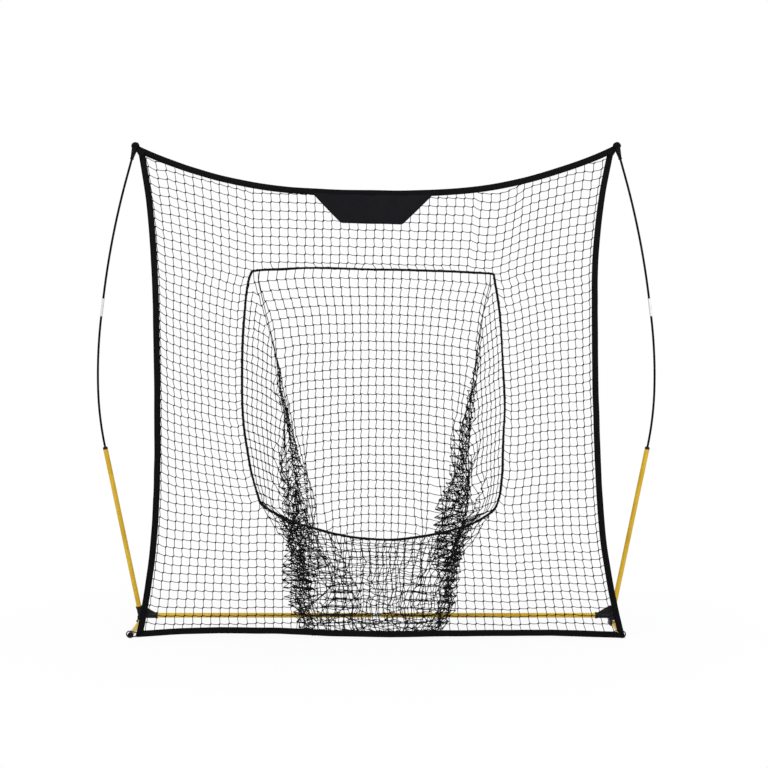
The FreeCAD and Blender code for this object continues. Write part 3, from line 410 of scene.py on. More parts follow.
def twine_line(knots, swing, sag=0.0):
    """Points of one strand: thick at each knot, and a little S-shaped between two knots."""
    points = []
    for index, knot in enumerate(knots):
        points.append((knot, KNOT_SHARE))
        if index + 1 == len(knots):
            break
        gap = knots[index + 1] - knot
        bend = swing * (0.5 + 1.1 * abs(noise.noise(knot * 37)))
        drop = Vector((0, 0, -sag * min(1, gap.length / MESH)))
        points.append((knot + gap * 0.14 + bend, 1.0))
        points.append((knot + gap * 0.5 + drop, 0.95))
        points.append((knot + gap * 0.86 - bend, 1.0))
    return points


# Outline of the net, as in the source

def side_half(height):
    half = SIDE_HALF_WIDTH
    if height < SIDE_LOW_TANGENT:
        drop = SIDE_LOW_TANGENT - height
        half += SIDE_LOW_RADIUS - math.sqrt(SIDE_LOW_RADIUS ** 2 - drop ** 2)
    if height > SIDE_HIGH_TANGENT:
        rise = height - SIDE_HIGH_TANGENT
        half += SIDE_HIGH_RADIUS - math.sqrt(SIDE_HIGH_RADIUS ** 2 - rise ** 2)
    return half


def top_height(across):
    across = abs(across)
    near = min(across, TOP_MIDDLE_HALF)
    rise = TOP_MIDDLE_RADIUS - math.sqrt(TOP_MIDDLE_RADIUS ** 2 - near ** 2)
    if across <= TOP_MIDDLE_HALF:
        return SAG_HEIGHT + rise
    lean = math.asin(TOP_MIDDLE_HALF / TOP_MIDDLE_RADIUS)
    reach = across - TOP_MIDDLE_HALF + TOP_OUTER_RADIUS * math.sin(lean)
    return (SAG_HEIGHT + rise + TOP_OUTER_RADIUS * math.cos(lean)
            - math.sqrt(TOP_OUTER_RADIUS ** 2 - reach ** 2))


# How the hung net departs from an even outline, from the photograph.
# Rows: height, shift of the whole net to the right, and how much wider each half hangs
SIDE_HANG = ((2.13, 0.0, 0.0), (1.96, -0.003, 0.0), (1.65, -0.006, 0.003), (1.48, -0.003, 0.0045),
             (1.13, 0.001, 0.001), (0.78, 0.007, 0.004), (0.60, 0.009, 0.0095),
             (0.25, 0.0145, 0.0095), (0.04, 0.0185, 0.0057))
# Rows: across, height of the bottom strap's lower edge
BOTTOM_HANG = ((1.08, 0.002), (0.93, 0.007), (0.76, 0.012), (0.32, 0.009), (0.06, 0.005),
               (-0.20, 0.0105), (-0.42, 0.020), (-0.68, 0.023), (-0.85, 0.018), (-1.05, 0.006))


def side_line(height, side):
    """How far across the net's left (-1) or right (1) edge hangs at a height."""
    spare = follow(SIDE_HANG, height, 2)
    return side * (side_half(height) + spare) + follow(SIDE_HANG, height, 1)


def side_edge(share, inset, side=1):
    """Place along a side edge from the bottom corner up, moved in by an inset."""
    height = mix(bottom_line(side * 1.05) + inset, CORNER_TOP - inset, share)
    slope = (side_half(height + 0.001) - side_half(height - 0.001)) / 0.002
    return side_line(height, side) - side * inset * math.hypot(1, slope), height


def left_edge(share, inset):
    return side_edge(share, inset, -1)


def top_line(across):
    """Height of the top strap's upper edge, which hangs lower right of the middle."""
    dip = max(0.0, math.sin((across + 0.02) / 0.8 * math.pi)) if abs(across) < 0.78 else 0.0
    return top_height(across) - 0.0048 * dip


def top_edge(share, inset):
    """Place along the upper edge from left to right, moved down by an inset."""
    reach = CORNER_HALF - inset
    across = mix(-reach, reach, share)
    slope = (top_line(across + 0.001) - top_line(across - 0.001)) / 0.002
    return across, top_line(across) - inset * math.hypot(1, slope)


def bottom_line(across):
    return follow(BOTTOM_HANG, across, 1)


def bottom_edge(share, inset):
    """Place along the lower edge from left to right, moved up by an inset."""
    low = BOTTOM_HEIGHT + inset
    across = mix(side_line(low, -1) + inset, side_line(low, 1) - inset, share)
    return across, bottom_line(across) + inset


# Target mouth, from the photograph: across and height, from the upper left corner clockwise
MOUTH = ((-0.532, 1.608), (-0.41, 1.617), (-0.29, 1.621), (-0.10, 1.616), (0.105, 1.613),
         (0.33, 1.606), (0.500, 1.597), (0.521, 1.572), (0.5445, 1.413), (0.557, 1.194),
         (0.564, 1.000), (0.556, 0.843), (0.553, 0.734), (0.545, 0.642), (0.531, 0.594),
         (0.503, 0.550), (0.411, 0.498),
         (0.280, 0.4586), (0.105, 0.430), (-0.026, 0.4325), (-0.157, 0.450), (-0.2885, 0.485),
         (-0.3977, 0.524), (-0.494, 0.5767), (-0.516, 0.616), (-0.547, 0.734),
         (-0.5737, 0.887), (-0.587, 1.04), (-0.586, 1.259), (-0.5776, 1.435), (-0.563, 1.553),
         (-0.551, 1.593))


def mouth_line(steps):
    """Smooth closed line through the mouth's places, as pairs of across and height."""
    line = []
    count = len(MOUTH)
    for index in range(count):
        before, start, end, after = (Vector(MOUTH[(index + k - 1) % count]) for k in range(4))
        for step in range(steps):
            t = step / steps
            line.append(0.5 * (2 * start + (end - before) * t
                               + (2 * before - 5 * start + 4 * end - after) * t ** 2
                               + (3 * start - before - 3 * end + after) * t ** 3))
    return line


MOUTH_LINE = mouth_line(6)
MOUTH_ARRAY = np.array(MOUTH_LINE)


def in_mouth(across, height):
    inside = False
    previous = MOUTH_LINE[-1]
    for current in MOUTH_LINE:
        if (current[1] > height) != (previous[1] > height):
            share = (height - current[1]) / (previous[1] - current[1])
            if across < mix(current[0], previous[0], share):
                inside = not inside
        previous = current
    return inside


def to_mouth(across, height):
    """Nearest place of the mouth's line and the distance to it."""
    gaps = np.hypot(MOUTH_ARRAY[:, 0] - across, MOUTH_ARRAY[:, 1] - height)
    nearest = int(gaps.argmin())
    return MOUTH_LINE[nearest], float(gaps[nearest])


def mouth_side(height, side):
    """How far out the mouth's rope is at a height, on the left (-1) or right (1)."""
    reach = 0.0
    for start, end in zip(MOUTH_LINE, MOUTH_LINE[1:] + MOUTH_LINE[:1]):
        if (start[1] - height) * (end[1] - height) <= 0 and start[1] != end[1]:
            across = mix(start[0], end[0], (height - start[1]) / (end[1] - start[1]))
            if across * side > reach:
                reach = across * side
    return reach * side


# Netting around the mouth

# Share of a bar's spare length that each end takes up in one step
BAR_SHARE = 0.33
TINY = 1e-6


def settle(points, held, bars, rests, rounds, pull):
    """Lets knots hang: gravity moves them, and bars that are too long draw their ends in."""
    free = (~held).astype(float)[:, None]
    ends_a, ends_b = bars[:, 0], bars[:, 1]
    for _ in range(rounds):
        points += free * pull
        for _ in range(5):
            gaps = points[ends_b] - points[ends_a]
            lengths = np.linalg.norm(gaps, axis=1)
            share = np.maximum(0, 1 - rests / np.maximum(lengths, TINY)) * BAR_SHARE
            moves = gaps * share[:, None]
            shift = np.zeros_like(points)
            np.add.at(shift, ends_a, moves)
            np.add.at(shift, ends_b, -moves)
            points += free * shift
    return points


# No knot lies nearer to the mouth's rope
ROPE_CLEARANCE = 0.3 * MESH
# How often the netting settles, and how far gravity moves a knot each time
SETTLE_ROUNDS = 90
SETTLE_PULL = (0, 0, -0.0002)
# How far a strand bends at its middle, between its knots
STRAND_BEND = 0.0022
# Rows: number from the bottom, height at the left strap, the left kink, the right kink and the
# right strap
ROW_HANG = ((54, 2.117, 1.990, 1.963, 2.110), (38, 1.513, 1.395, 1.382, 1.492),
            (26, 1.050, 0.961, 0.960, 1.017), (18, 0.733, 0.663, 0.659, 0.705),
            (10, 0.417, 0.390, 0.369, 0.393), (0, 0.042, 0.047, 0.041, 0.041))
# Rows: height, how far across the left kink and the right kink are
KINK_HANG = ((1.98, -0.540, 0.548), (1.61, -0.538, 0.508), (1.56, -0.562, 0.523),
             (1.43, -0.578, 0.543), (1.19, -0.588, 0.557), (0.99, -0.583, 0.564),
             (0.74, -0.548, 0.554), (0.60, -0.515, 0.531), (0.50, -0.520, 0.530),
             (0.04, -0.524, 0.553))


def net_knot(column, row):
    """Place of a knot of the main net, and whether a strap holds it."""
    inset = WEBBING_WIDTH - STRAP_COVER
    left, left_kink, right_kink, right = (follow(ROW_HANG, row, k) for k in (1, 2, 3, 4))
    if column < LEFT_KINK:
        share = max(0, 1 - (LEFT_KINK - column) / LEFT_CELLS)
        height = mix(left, left_kink, share)
        across = mix(side_line(height, -1) + inset, follow(KINK_HANG, height, 1), share)
    elif column <= RIGHT_KINK:
        share = (column - LEFT_KINK) / (RIGHT_KINK - LEFT_KINK)
        height = mix(left_kink, right_kink, share)
        across = mix(follow(KINK_HANG, height, 1), follow(KINK_HANG, height, 2), share)
    else:
        share = min(1, (column - RIGHT_KINK) / RIGHT_CELLS)
        height = mix(right_kink, right, share) + 0.012 * math.sin(math.pi * share)
        across = mix(follow(KINK_HANG, height, 2), side_line(height, 1) - inset, share)
    low, high = bottom_line(across) + inset, top_line(across) - inset
    held = column in (0, NET_COLUMNS) or not low < height < high
    return Vector((across, min(max(height, low), high))), held


def make_netting(twine):
    knots = {(column, row): net_knot(column, row)
             for column in range(NET_COLUMNS + 1) for row in range(NET_ROWS + 1)}
    corners = {key: spot for key, (spot, _) in knots.items()}
    places, held, index_of = [], [], {}

    def keep(key, spot, is_held):
        index_of[key] = len(places)
        places.append((spot[0], 0.0, spot[1]))
        held.append(is_held)

    for key, (spot, is_held) in knots.items():
        if not in_mouth(*spot) and to_mouth(*spot)[1] > ROPE_CLEARANCE:
            keep(key, spot, is_held)
    bars, runs = [], {"row": [], "column": []}
    for kind, outer, inner in (("row", NET_ROWS, NET_COLUMNS), ("column", NET_COLUMNS, NET_ROWS)):
        for line in range(outer + 1):
            run = []
            for step in range(inner + 1):
                key = (step, line) if kind == "row" else (line, step)
                before = (step - 1, line) if kind == "row" else (line, step - 1)
                if key in index_of:
                    if not run and step > 0 and before not in index_of:
                        run.append(end_on_rope(corners[before], corners[key], keep, places))
                    run.append(index_of[key])
                elif run:
                    run.append(end_on_rope(corners[key], corners[before], keep, places))
                    runs[kind].append(run)
                    run = []
            if run:
                runs[kind].append(run)
    for kind in runs:
        for run in runs[kind]:
            bars += list(zip(run, run[1:]))
    points, bars = np.array(places), np.array(bars)
    spans = np.linalg.norm(points[bars[:, 1]] - points[bars[:, 0]], axis=1)
    slack = np.array([0.004 + 0.01 * noise.noise(Vector(points[a]) * 9 + Vector((5, 1, 2)))
                      for a in bars[:, 0]])
    points = settle(points, np.array(held), bars, spans * (1 + slack), SETTLE_ROUNDS,
                    np.array(SETTLE_PULL))
    knots = []
    for x, _, z in points:
        spot = Vector((x, 0, z))
        knots.append(on_net(x, z, wander(spot, 0.12, 0.004)[1]) + wander(spot, 0.03, 0.0022))
    rows = [twine_line([knots[k] for k in run], Vector((0, 0, STRAND_BEND)), 0.0012)
            for run in runs["row"] if len(run) > 1]
    columns = [twine_line([knots[k] for k in run], Vector((STRAND_BEND, 0, 0)))
               for run in runs["column"] if len(run) > 1]
    piece = line_piece("net_rows", rows, TWINE / 2, twine, "base")
    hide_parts("net_top", "net_bottom", "net_left", "net_right", "net_low_left",
                "net_low_right")
    line_piece("net_columns", columns, TWINE / 2, twine, "base")


def end_on_rope(outside, knot, keep, places):
    """Ends a strand where it is tied on the mouth's rope."""
    spot, _ = to_mouth(*mix(Vector(outside), Vector(knot), 0.55))
    key = ("rope", len(places))
    keep(key, spot, True)
    return len(places) - 1


# Catch pocket

# Rows: height, then across of the gathers' edges: left outer and inner, right inner and outer
GATHERS = ((1.56, -0.519, -0.517, 0.501, 0.503), (1.465, -0.497, -0.490, 0.474, 0.480),
           (1.32, -0.462, -0.452, 0.452, 0.460), (1.24, -0.446, -0.430, 0.434, 0.446),
           (1.105, -0.427, -0.395, 0.402, 0.428), (0.97, -0.411, -0.365, 0.365, 0.416),
           (0.836, -0.411, -0.335, 0.343, 0.415), (0.70, -0.402, -0.300, 0.315, 0.414),
           (0.566, -0.393, -0.262, 0.287, 0.410), (0.422, -0.360, -0.210, 0.245, 0.378),
           (0.242, -0.326, -0.150, 0.210, 0.338), (0.12, -0.298, -0.080, 0.185, 0.306),
           (0.017, -0.262, -0.040, 0.160, 0.275))
# Rows: height, then across of the panel under the mouth at its left and right edge
FRONT_EDGES = ((0.55, -0.410, 0.408), (0.484, -0.390, 0.386), (0.303, -0.356, 0.352),
               (0.153, -0.325, 0.320), (0.06, -0.293, 0.290), (0.0, -0.268, 0.265))
POCKET_TOP = 1.608
POCKET_LOW = 0.55
POCKET_ROWS = 41
PLEATS = 5.5
BACK_COLUMNS = 14
SIDE_COLUMNS = 33
SIDE_BUNCHING = 1.3
# Columns of the side panels are numbered back from this one, which lies on the mouth's rope
RIM_COLUMN = 100
# Steps in which a row is laid out along the back or a side panel, and along the gather
PANEL_STEPS = 12
FOLD_STEPS = 40
# How far a row hangs from the middle of the back to the rim, and its share along the back
ROW_DROP = 0.085
BACK_DROP = 0.45
DEEPEST_FOLD = 0.11
# Rows from the top after which the side panels are whole, and after which they are cut away
WHOLE_ROW = 27
CUT_ROW = 25
# Meshes of the panel under the mouth, across and down, and its half width at the rope
FRONT_CELLS = 28
FRONT_ROWS = 14
FRONT_HALF = 0.495
# Lowest place of a knot, how far a slack strand bends, and the pocket's limit at the back
LOWEST_KNOT = 0.011
POCKET_BEND = 0.0024
POCKET_END = -0.044


def pocket_back(height):
    """How far back the pocket hangs at a height."""
    share = min(1, max(0, height / POCKET_TOP))
    return mix(-0.058, NET_FOOT_Y + POCKET_TOP * NET_PITCH + 0.006, share ** 0.92)


def pocket_rim(height, side):
    """Where a row of the pocket starts: on the mouth's rope, or below it behind the net."""
    if height > POCKET_LOW:
        across = mouth_side(min(height, 1.606 if side < 0 else 1.590), side)
        return on_net(across, height / math.cos(NET_PITCH), -0.003)
    across = follow(FRONT_EDGES, height, 1 if side < 0 else 2)
    return on_net(across, height / math.cos(NET_PITCH), -0.012)


def gather_edges(height, side):
    """How far across a gather's outer and inner edge are."""
    columns = (1, 2) if side < 0 else (4, 3)
    return [follow(GATHERS, height, column) for column in columns]


def half_row(height, side, depth):
    """Places of a row from the middle of the back to the rim, with its pleats."""
    outer, inner = gather_edges(height, side)
    back = pocket_back(height)
    rim = pocket_rim(height, side)
    fall = min(1, max(0, (POCKET_TOP - height) / 0.35) ** 0.6)
    drop = ROW_DROP * (fall if height > POCKET_LOW else height / POCKET_LOW)
    row = []
    for step in range(PANEL_STEPS + 1):
        share = step / PANEL_STEPS
        row.append(Vector((inner * share, back + 0.012 * share,
                           height - BACK_DROP * drop * share ** 2)))
    for step in range(1, FOLD_STEPS + 1):
        share = step / FOLD_STEPS
        wave = math.sin(share * math.tau * PLEATS + side)
        lift = min(1, share * 6) * min(1, (1 - share) * 6)
        crowd = 1 - (1 - share) ** 1.2
        row.append(Vector((mix(inner, outer, crowd) + 0.25 * depth * math.cos(share * 9) * lift,
                           back + 0.012 - depth * (1 + wave) * lift,
                           height - mix(BACK_DROP, 1, share) * drop)))
    for step in range(1, PANEL_STEPS + 1):
        share = step / PANEL_STEPS
        spot = row[PANEL_STEPS + FOLD_STEPS].lerp(rim, share)
        spot.z = mix(height - drop, rim.z, share ** 0.8)
        row.append(spot)
    return row


def spaced(row, cells):
    """The row's places at equal steps of netting, which is bunched up at the side panels."""
    lengths = [0.0]
    for index, (start, end) in enumerate(zip(row, row[1:])):
        bunch = SIDE_BUNCHING if index >= PANEL_STEPS + FOLD_STEPS else 1
        lengths.append(lengths[-1] + (end - start).length * bunch)
    places = []
    at = 0
    for step in range(cells + 1):
        goal = lengths[-1] * step / cells
        while at < len(row) - 2 and lengths[at + 1] < goal:
            at += 1
        share = (goal - lengths[at]) / max(TINY, lengths[at + 1] - lengths[at])
        places.append(row[at].lerp(row[at + 1], min(1, share)))
    return places


def row_length(row):
    spans = [(end - start).length for start, end in zip(row, row[1:])]
    return sum(spans) + sum(spans[-PANEL_STEPS:]) * (SIDE_BUNCHING - 1)


def pocket_knots():
    """Knots of the pocket's back and sides; columns are counted out from the middle."""
    knots = {}
    for row in range(POCKET_ROWS + 1):
        height = mix(POCKET_TOP, 0.02, row / POCKET_ROWS)
        left = 1 - 0.85 * max(0, row - CUT_ROW) / (POCKET_ROWS - CUT_ROW)
        sides = round(SIDE_COLUMNS * min(1, row / WHOLE_ROW) ** 1.1 * left)
        for side in (-1, 1):
            cells = BACK_COLUMNS + (max(1, sides) if side > 0 else sides)
            goal = cells * MESH * mix(0.97, 0.89, min(1, row / 8))
            low, high = 0.0, DEEPEST_FOLD
            for _ in range(12):
                middle = (low + high) / 2
                if row_length(half_row(height, side, middle)) < goal:
                    low = middle
                else:
                    high = middle
            places = spaced(half_row(height, side, low), cells)
            outer, inner = gather_edges(height, side)
            band = abs(outer - inner) + 0.012
            for cell, spot in enumerate(places):
                if side > 0 or cell > 0:
                    loose = min(1, row / 10) * (0.25 + 0.35 * smooth_near(spot.x, outer, 0.16))
                    # In the gather each strand goes its own way, more or less straight down
                    mess = smooth_near(spot.x, (inner + outer) / 2, 0.8 * band) * min(1, row / 8)
                    stray = noise.noise_vector(Vector((cell * 0.8, row * 0.13, side * 5))) * mess
                    spot += Vector((stray.x * band * 0.8, stray.y * 0.02, stray.z * 0.012))
                    if height < 0.5:
                        loose = mix(1.6, loose, height / 0.5)
                    if cell == cells and height > POCKET_LOW:
                        loose = 0
                    spot.z += (mouth_top(spot.x) - POCKET_TOP) * max(0, 1 - row / 12)
                    number = cell if cell <= BACK_COLUMNS else RIM_COLUMN - cells + cell
                    knots[side * number, row] = keep_in_pocket(
                        spot + wander(spot, 0.09, 0.012 * loose)
                        + wander(spot, 0.028, 0.006 * loose))
    return knots


def mouth_top(across):
    """Height of the mouth's upper rope."""
    upper = [spot for spot in MOUTH_LINE if spot[1] > 1.58]
    return min(upper, key=lambda spot: abs(spot[0] - across))[1]


def smooth_near(value, target, width):
    return math.exp(-((value - target) / width) ** 2)


def keep_in_pocket(spot):
    """Keeps a knot behind the net, before the pocket's back limit and off the ground."""
    low = max(spot.z, LOWEST_KNOT)
    front = NET_FOOT_Y + low * NET_PITCH + 0.004
    return Vector((spot.x, min(max(spot.y, front), POCKET_END), low))


def lower_front_knots():
    """Knots of the panel under the mouth, which hangs behind the net down to the ground."""
    knots = {}
    for cell in range(FRONT_CELLS + 1):
        share = cell / FRONT_CELLS
        rim = mix(-FRONT_HALF, FRONT_HALF, share)
        top = min((spot[1] for spot in MOUTH_LINE if abs(spot[0] - rim) < 0.02 and spot[1] < 0.7),
                  default=0.5)
        start = on_net(rim, top, -0.002)
        foot = on_net(rim, 0.02, -0.03)
        for row in range(FRONT_ROWS + 1):
            down = row / FRONT_ROWS
            spot = start.lerp(foot, down ** 0.8 if abs(share - 0.5) > 0.3 else down)
            spot.y += 0.045 * math.sin(down * math.pi)
            spot.z = mix(start.z, 0.006, down)
            left, right = (follow(FRONT_EDGES, spot.z, edge) for edge in (1, 2))
            spot.x = mix(start.x, mix(left, right, share), min(1, down * 2.2) ** 0.7)
            loose = min(1, 3 * down)
            knots[cell, row] = keep_in_pocket(
                spot + wander(spot, 0.12, 0.034 * loose) + wander(spot, 0.035, 0.015 * loose))
    return knots


def slack_heap_knots():
    """Knots of the spare netting that lies in folds on the ground inside the pocket."""
    knots = {}
    for cell in range(13):
        for row in range(5):
            across = mix(-0.30, 0.28, cell / 12)
            depth = mix(-0.06, -0.35, row / 4)
            spot = Vector((across, depth, 0.012 + 0.035 * abs(math.sin(row * 1.9 + across * 6))))
            knots[cell, row] = keep_in_pocket(
                spot + wander(spot, 0.10, 0.035) + wander(spot, 0.04, 0.02))
    return knots


def strands(knots):
    """Runs of neighbouring knots, along the rows and along the columns."""
    rows, columns = {}, {}
    for cell, row in knots:
        rows.setdefault(row, []).append(cell)
        columns.setdefault(cell, []).append(row)
    across = [[knots[cell, row] for cell in sorted(cells)] for row, cells in sorted(rows.items())]
    along = [[knots[cell, row] for row in sorted(lines)] for cell, lines in sorted(columns.items())]
    return across, along


def make_pocket(twine):
    rows, columns = [], []
    for knots in (pocket_knots(), lower_front_knots(), slack_heap_knots()):
        across, along = strands(knots)
        rows += [twine_line(run, Vector((0, 0, POCKET_BEND)), 0.0016)
                 for run in across if len(run) > 1]
        columns += [twine_line(run, Vector((POCKET_BEND, 0, 0)))
                    for run in along if len(run) > 1]
    piece = line_piece("pocket_rows", rows, TWINE / 2, twine, "base")
    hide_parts("target_pocket", "pocket_front", "pocket_floor", "pocket_left",
                "pocket_right")
    line_piece("pocket_columns", columns, TWINE / 2, twine, "base")
    seams = []
    for side in (-1, 1):
        for strand in range(3):
            seam = []
            for step in range(81):
                height = mix(1.60, 0.03, step / 80)
                spot = Vector((gather_edges(height, side)[0], pocket_back(height) + 0.004,
                               height))
                ply = Vector((strand * 0.4, strand * 0.7, 0))
                spread = 0.001 + 0.010 * (step / 80)
                seam.append((keep_in_pocket(spot + wander(spot + ply, 0.06, spread)), 1.0))
            seams.append(seam)
    line_piece("pocket_seams", seams, 0.0012, twine, "base")


# Rope of the mouth

# Scale and amount of the rope's unevenness, which its lashing follows
ROPE_WANDER = (0.09, 0.0035)


def make_mouth_rope(rope, twine):
    line = []
    for across, height in mouth_line(2):
        spot = on_net(across, height)
        line.append((spot + wander(spot, *ROPE_WANDER), 1 + 0.3 * noise.noise(spot / 0.04)))
    piece = line_piece("mouth_rope_braid", [line], ROPE / 2, rope, "base",
                       kind="NURBS", closed=True, sides=3)
    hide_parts("mouth_rope")
    lashing = []
    turns, per_turn, cord = 110, 10, 0.0008
    reach = ROPE / 2 + 0.75 * cord
    outside = Vector((0, -1, 0))
    dense = mouth_line(40)
    for step in range(turns * per_turn):
        at = step * len(dense) // (turns * per_turn)
        spot = on_net(*dense[at])
        ahead = (on_net(*dense[(at + 4) % len(dense)]) - spot).normalized()
        side = ahead.cross(outside).normalized()
        turn = step / per_turn * math.tau
        outward = side * math.cos(turn) + outside * math.sin(turn)
        lashing.append((spot + wander(spot, *ROPE_WANDER) + outward * reach, 1.0))
    line_piece("mouth_lashing", [lashing], cord, twine, "base", closed=True)


# Straps round the net

def make_webbing(webbing, thread):
    straps = (("top_strap", top_edge, 2.21, 110, "webbing_top"),
              ("bottom_strap", bottom_edge, 2.12, 100, "webbing_bottom"),
              ("right_strap", side_edge, 2.13, 100, "webbing_right"),
              ("left_strap", left_edge, 2.13, 100, "webbing_left"))
    stitch, seam_lift = 0.012, 0.0052
    seams = []
    for name, edge, length, cells, node in straps:
        def place(u, v):
            outer, inner = Vector(edge(u, 0.0)), Vector(edge(u, WEBBING_WIDTH))
            spot = outer.lerp(inner, v)
            wave = wander(Vector((spot.x, 0, spot.y)), 0.11, 0.004)
            swell = 0.0012 * (1 - (2 * v - 1) ** 2)
            lift = 0.001 + wave[1] * 0.5 + swell
            return on_net(spot.x, spot.y, lift) + Vector((wave[0], 0, wave[2])) * 0.25

        flat = (length, WEBBING_WIDTH)
        piece = cloth_piece(name, (cells, 6), place, flat, WEBBING_THICKNESS, webbing,
                            "base")
        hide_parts(node)
        for inset in (0.005, 0.020):
            count = int(length / stitch)
            for step in range(count):
                ends = [edge((step + part) / count, inset) for part in (0.15, 0.75)]
                seams.append([(on_net(*end, seam_lift), 1.0) for end in ends])
    line_piece("strap_seams", seams, 0.0005, thread, "base", sides=0)


# Header banner, bare

def make_banner(cloth, thread):
    top_left, top_right, low_left, low_right = -0.282, 0.2534, -0.1595, 0.121
    seam, rounding, flat = 0.020, 0.014, (0.536, 0.137)

    def place(u, v):
        down = 1 - v
        across = mix(mix(top_left, low_left, down), mix(top_right, low_right, down), u)
        low = mix(1.8185, 1.812, u)
        near = min(u, 1 - u) * (low_right - low_left) / rounding
        if near < 1:
            low += 0.35 * rounding * (1 - near) ** 2
        height = mix(top_line(across) - seam, low, down)
        ripple = 0.0035 * math.sin(u * 11 + 2 * v) * down + 0.0025 * math.sin(u * 23) * v
        return on_net(across, height, 0.0062 + ripple)

    piece = cloth_piece("header_banner", (64, 20), place, flat, 0.001, cloth,
                        "base")
    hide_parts("banner")
    steps, inset = 40, 0.004
    shares = [step / steps for step in range(steps + 1)]
    run = [(0.0, 1 - share, inset, 0) for share in shares]
    run += [(share, 0.0, 0, inset) for share in shares[1:]]
    run += [(1.0, share, -inset, 0) for share in shares[1:]]
    hem = [(place(u, v) + Vector((inward, -0.0012, rise)), 1.0) for u, v, inward, rise in run]
    line_piece("banner_hem", [hem], 0.0011, thread, "base")


# Hoods over the boots and loops on the feet

# Rows: share of the way from the net's corner into the hood, then across and height of the
# corner strip's lower and upper edges
CORNER_STRIP = ((1.0, 1.0575, 2.140, 1.0455, 2.157), (0.5, 1.0505, 2.126, 1.034, 2.147),
                (0.0, 1.035, 2.104, 1.014, 2.136))
STRIP_FLAT = (0.039, 0.069)
HOOD_REACH = 0.0173
HOOD_LEAN = 0.26
HOOD_FLAT = (0.11, 0.036)
HOOD_THICKNESS = 0.0018


def make_corner_hoods(webbing):
    forward = on_net(0, 0, 1) - on_net(0, 0, 0)
    up = on_net(0, 1) - on_net(0, 0)
    for side, name in ((-1, "left"), (1, "right")):
        middle = Vector((BOOT_MIDDLE.x * side, BOOT_MIDDLE.y, BOOT_MIDDLE.z))
        tip = (up - Vector((side * HOOD_LEAN, 0, 0))).normalized()
        sideways = tip.cross(forward).normalized()

        def cap(u, v):
            turn = u * 1.04 * math.tau
            polar = math.radians(mix(3, 118, v))
            reach = HOOD_REACH + 0.0012 * u + 0.0008 * math.sin(turn * 3) * v
            ring = sideways * math.cos(turn) + forward * math.sin(turn)
            return middle + (ring * math.sin(polar) + tip * math.cos(polar)) * reach

        def strip(u, v):
            row = [follow(CORNER_STRIP, u, k) for k in (1, 2, 3, 4)]
            fold = 1 - abs(2 * v - 1)
            lift = max(-1, min(1, 3 * math.cos(math.pi * v))) * 0.0052
            return on_net(side * mix(row[0], row[2], fold), mix(row[1], row[3], fold), lift)

        # The hood is drawn round the boot with its rim turned down towards the lower pole, and the
        # strip reaches from the net to the rim
        hood = cloth_piece(f"corner_hood_{name}", (32, 12), cap, HOOD_FLAT, HOOD_THICKNESS,
                           webbing, None)
        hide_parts(f"corner_tab_{name}")
        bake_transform(hood)
        patch = cloth_piece(f"corner_strip_{name}", (10, 12), strip, STRIP_FLAT, HOOD_THICKNESS,
                            webbing, None)
        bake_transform(patch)


def make_corner_loops(elastic):
    half_width, half_depth, half_height, steps = 0.0158, 0.0035, 0.0150, 14
    for side, name in ((-1, "left"), (1, "right")):
        low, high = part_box(f"corner_loop_{name}")
        middle = (Vector(low) + Vector(high)) / 2
        # The left loop is pulled towards the net's corner, which hangs short of its foot
        reach = 0.024 if side < 0 else 0.004
        loop = []
        for step in range(steps):
            angle = math.tau * step / steps
            inward = max(0, -side * math.cos(angle))
            spot = middle + Vector((half_width * math.cos(angle) - side * reach * inward,
                                    -half_depth * math.sin(angle),
                                    half_height * math.sin(angle) * (1 - 0.5 * inward)))
            loop.append((spot, 1.0))
        piece = line_piece(f"elastic_loop_{name}", [loop], 0.0025, elastic,
                           "base", kind="NURBS", closed=True, sides=3)
        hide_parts(f"corner_loop_{name}")


# Stage and light

def plain_to_see(tree):
    """1 for camera, glossy and transmitted rays, so that they see plain white."""
    rays = add(tree, "ShaderNodeLightPath")
    seen = add(tree, "ShaderNodeMath", {0: rays.outputs["Is Camera Ray"],
                                        1: rays.outputs["Is Glossy Ray"]}, operation="MAXIMUM")
    return add(tree, "ShaderNodeMath", {0: seen.outputs["Value"],
                                        1: rays.outputs["Is Transmission Ray"]},
               operation="MAXIMUM").outputs["Value"]


def make_stage():
    """Floor that takes soft shadows near the net and turns plain white further out."""
    made, tree, place = new_material("studio_floor")
    matt = add(tree, "ShaderNodeBsdfDiffuse", {"Color": hex_colour("E6E7EA")})
    white = add(tree, "ShaderNodeEmission", {"Color": (1, 1, 1, 1), "Strength": 1.0})
    reach = add(tree, "ShaderNodeVectorMath", {0: place}, operation="LENGTH")
    near = add(tree, "ShaderNodeMapRange", {"Value": reach.outputs["Value"], "From Min": 0.8,
                                            "From Max": 2.2, "To Min": 0.92, "To Max": 1.0},
               interpolation_type="SMOOTHSTEP")
    share = add(tree, "ShaderNodeMath", {0: plain_to_see(tree), 1: near.outputs["Result"]},
                operation="MULTIPLY")
    both = add(tree, "ShaderNodeMixShader", {0: share.outputs["Value"], 1: matt.outputs["BSDF"],
                                             2: white.outputs["Emission"]})
    add(tree, "ShaderNodeOutputMaterial", {"Surface": both.outputs["Shader"]})
    mesh = bpy.data.meshes.new("studio_floor")
    bm = bmesh.new()
    bmesh.ops.create_grid(bm, x_segments=1, y_segments=1, size=60)
    bm.to_mesh(mesh)
    bm.free()
    floor = bpy.data.objects.new("studio_floor", mesh)
    mesh.materials.append(made)
    bpy.context.scene.collection.objects.link(floor)


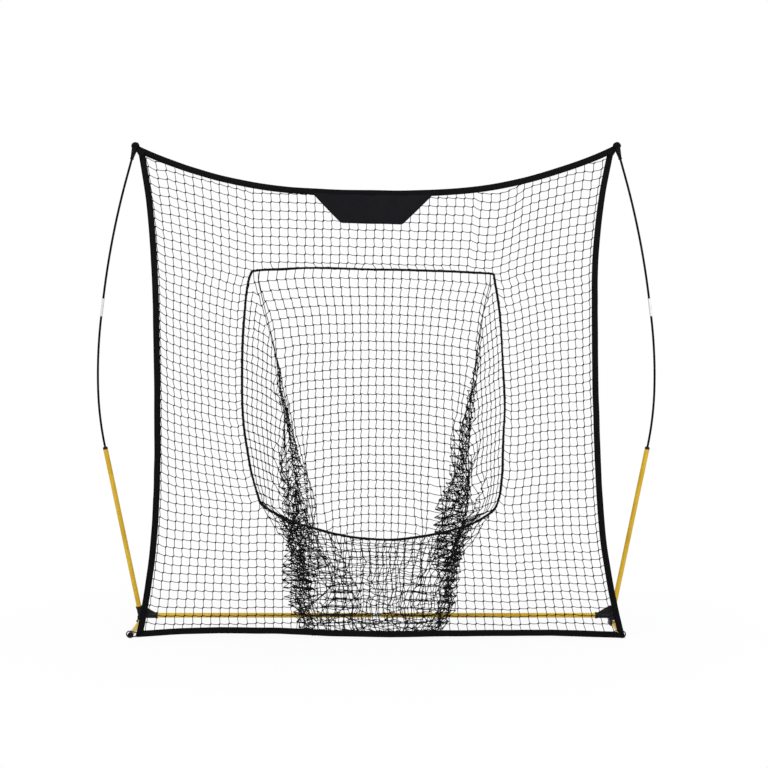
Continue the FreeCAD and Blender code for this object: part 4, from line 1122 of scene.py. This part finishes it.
def make_light():
    """Soft studio light, with a white background for the rays that see it."""
    world = bpy.data.worlds.new("studio")
    bpy.context.scene.world = world
    world.use_nodes = True
    tree = world.node_tree
    tree.nodes.clear()
    soft = add(tree, "ShaderNodeBackground", {"Color": hex_colour("EEF1F6"), "Strength": 0.55})
    white = add(tree, "ShaderNodeBackground", {"Color": (1, 1, 1, 1), "Strength": 1.0})
    both = add(tree, "ShaderNodeMixShader", {0: plain_to_see(tree),
                                             1: soft.outputs["Background"],
                                             2: white.outputs["Background"]})
    add(tree, "ShaderNodeOutputWorld", {"Surface": both.outputs["Shader"]})

    for name, spot, size, power in (("key", (-3.2, -5.0, 5.2), 3.0, 260),
                                    ("fill", (4.0, -4.0, 3.0), 3.5, 120),
                                    ("back", (0.5, 4.5, 4.5), 3.0, 90)):
        lamp = bpy.data.lights.new(name, "AREA")
        lamp.size = size
        lamp.energy = power
        holder = bpy.data.objects.new(name, lamp)
        holder.location = spot
        aim = Vector((0, 0, 1)) - Vector(spot)
        holder.rotation_euler = aim.to_track_quat("-Z", "Y").to_euler()
        bpy.context.scene.collection.objects.link(holder)
    bpy.context.scene.view_settings.view_transform = "Standard"


def dress_nodes(finishes):
    """Gives each CAD node that stays its real finish."""
    for entry in frame["record"]["subparts"]:
        finish = finishes.get(entry["material_slot"])
        node = frame["nodes"].get(entry["node"])
        if finish is None or node is None:
            continue
        if not node.material_slots:
            node.data.materials.append(finish)
        for place in node.material_slots:
            place.material = finish


set_camera()
make_stage()
make_light()
twine = knotted_twine()
webbing = woven_webbing()
make_netting(twine)
make_pocket(twine)
make_mouth_rope(braided_polyester(), twine)
make_webbing(webbing, twine)
make_banner(coated_oxford(), twine)
make_corner_hoods(webbing)
make_corner_loops(elastic_cord())
dress_nodes({
    "yellow_enamel": powder_coat(), "bare_steel": bare_steel(), "zinc_steel": zinc_plate(),
    "spring_steel": spring_steel(), "moulded_nylon": moulded_nylon(),
    "soft_plastic": dipped_vinyl(), "boot_rubber": moulded_rubber(),
    "glass_fibre": pultruded_rod(), "ferrule_metal": anodised_sleeve()})
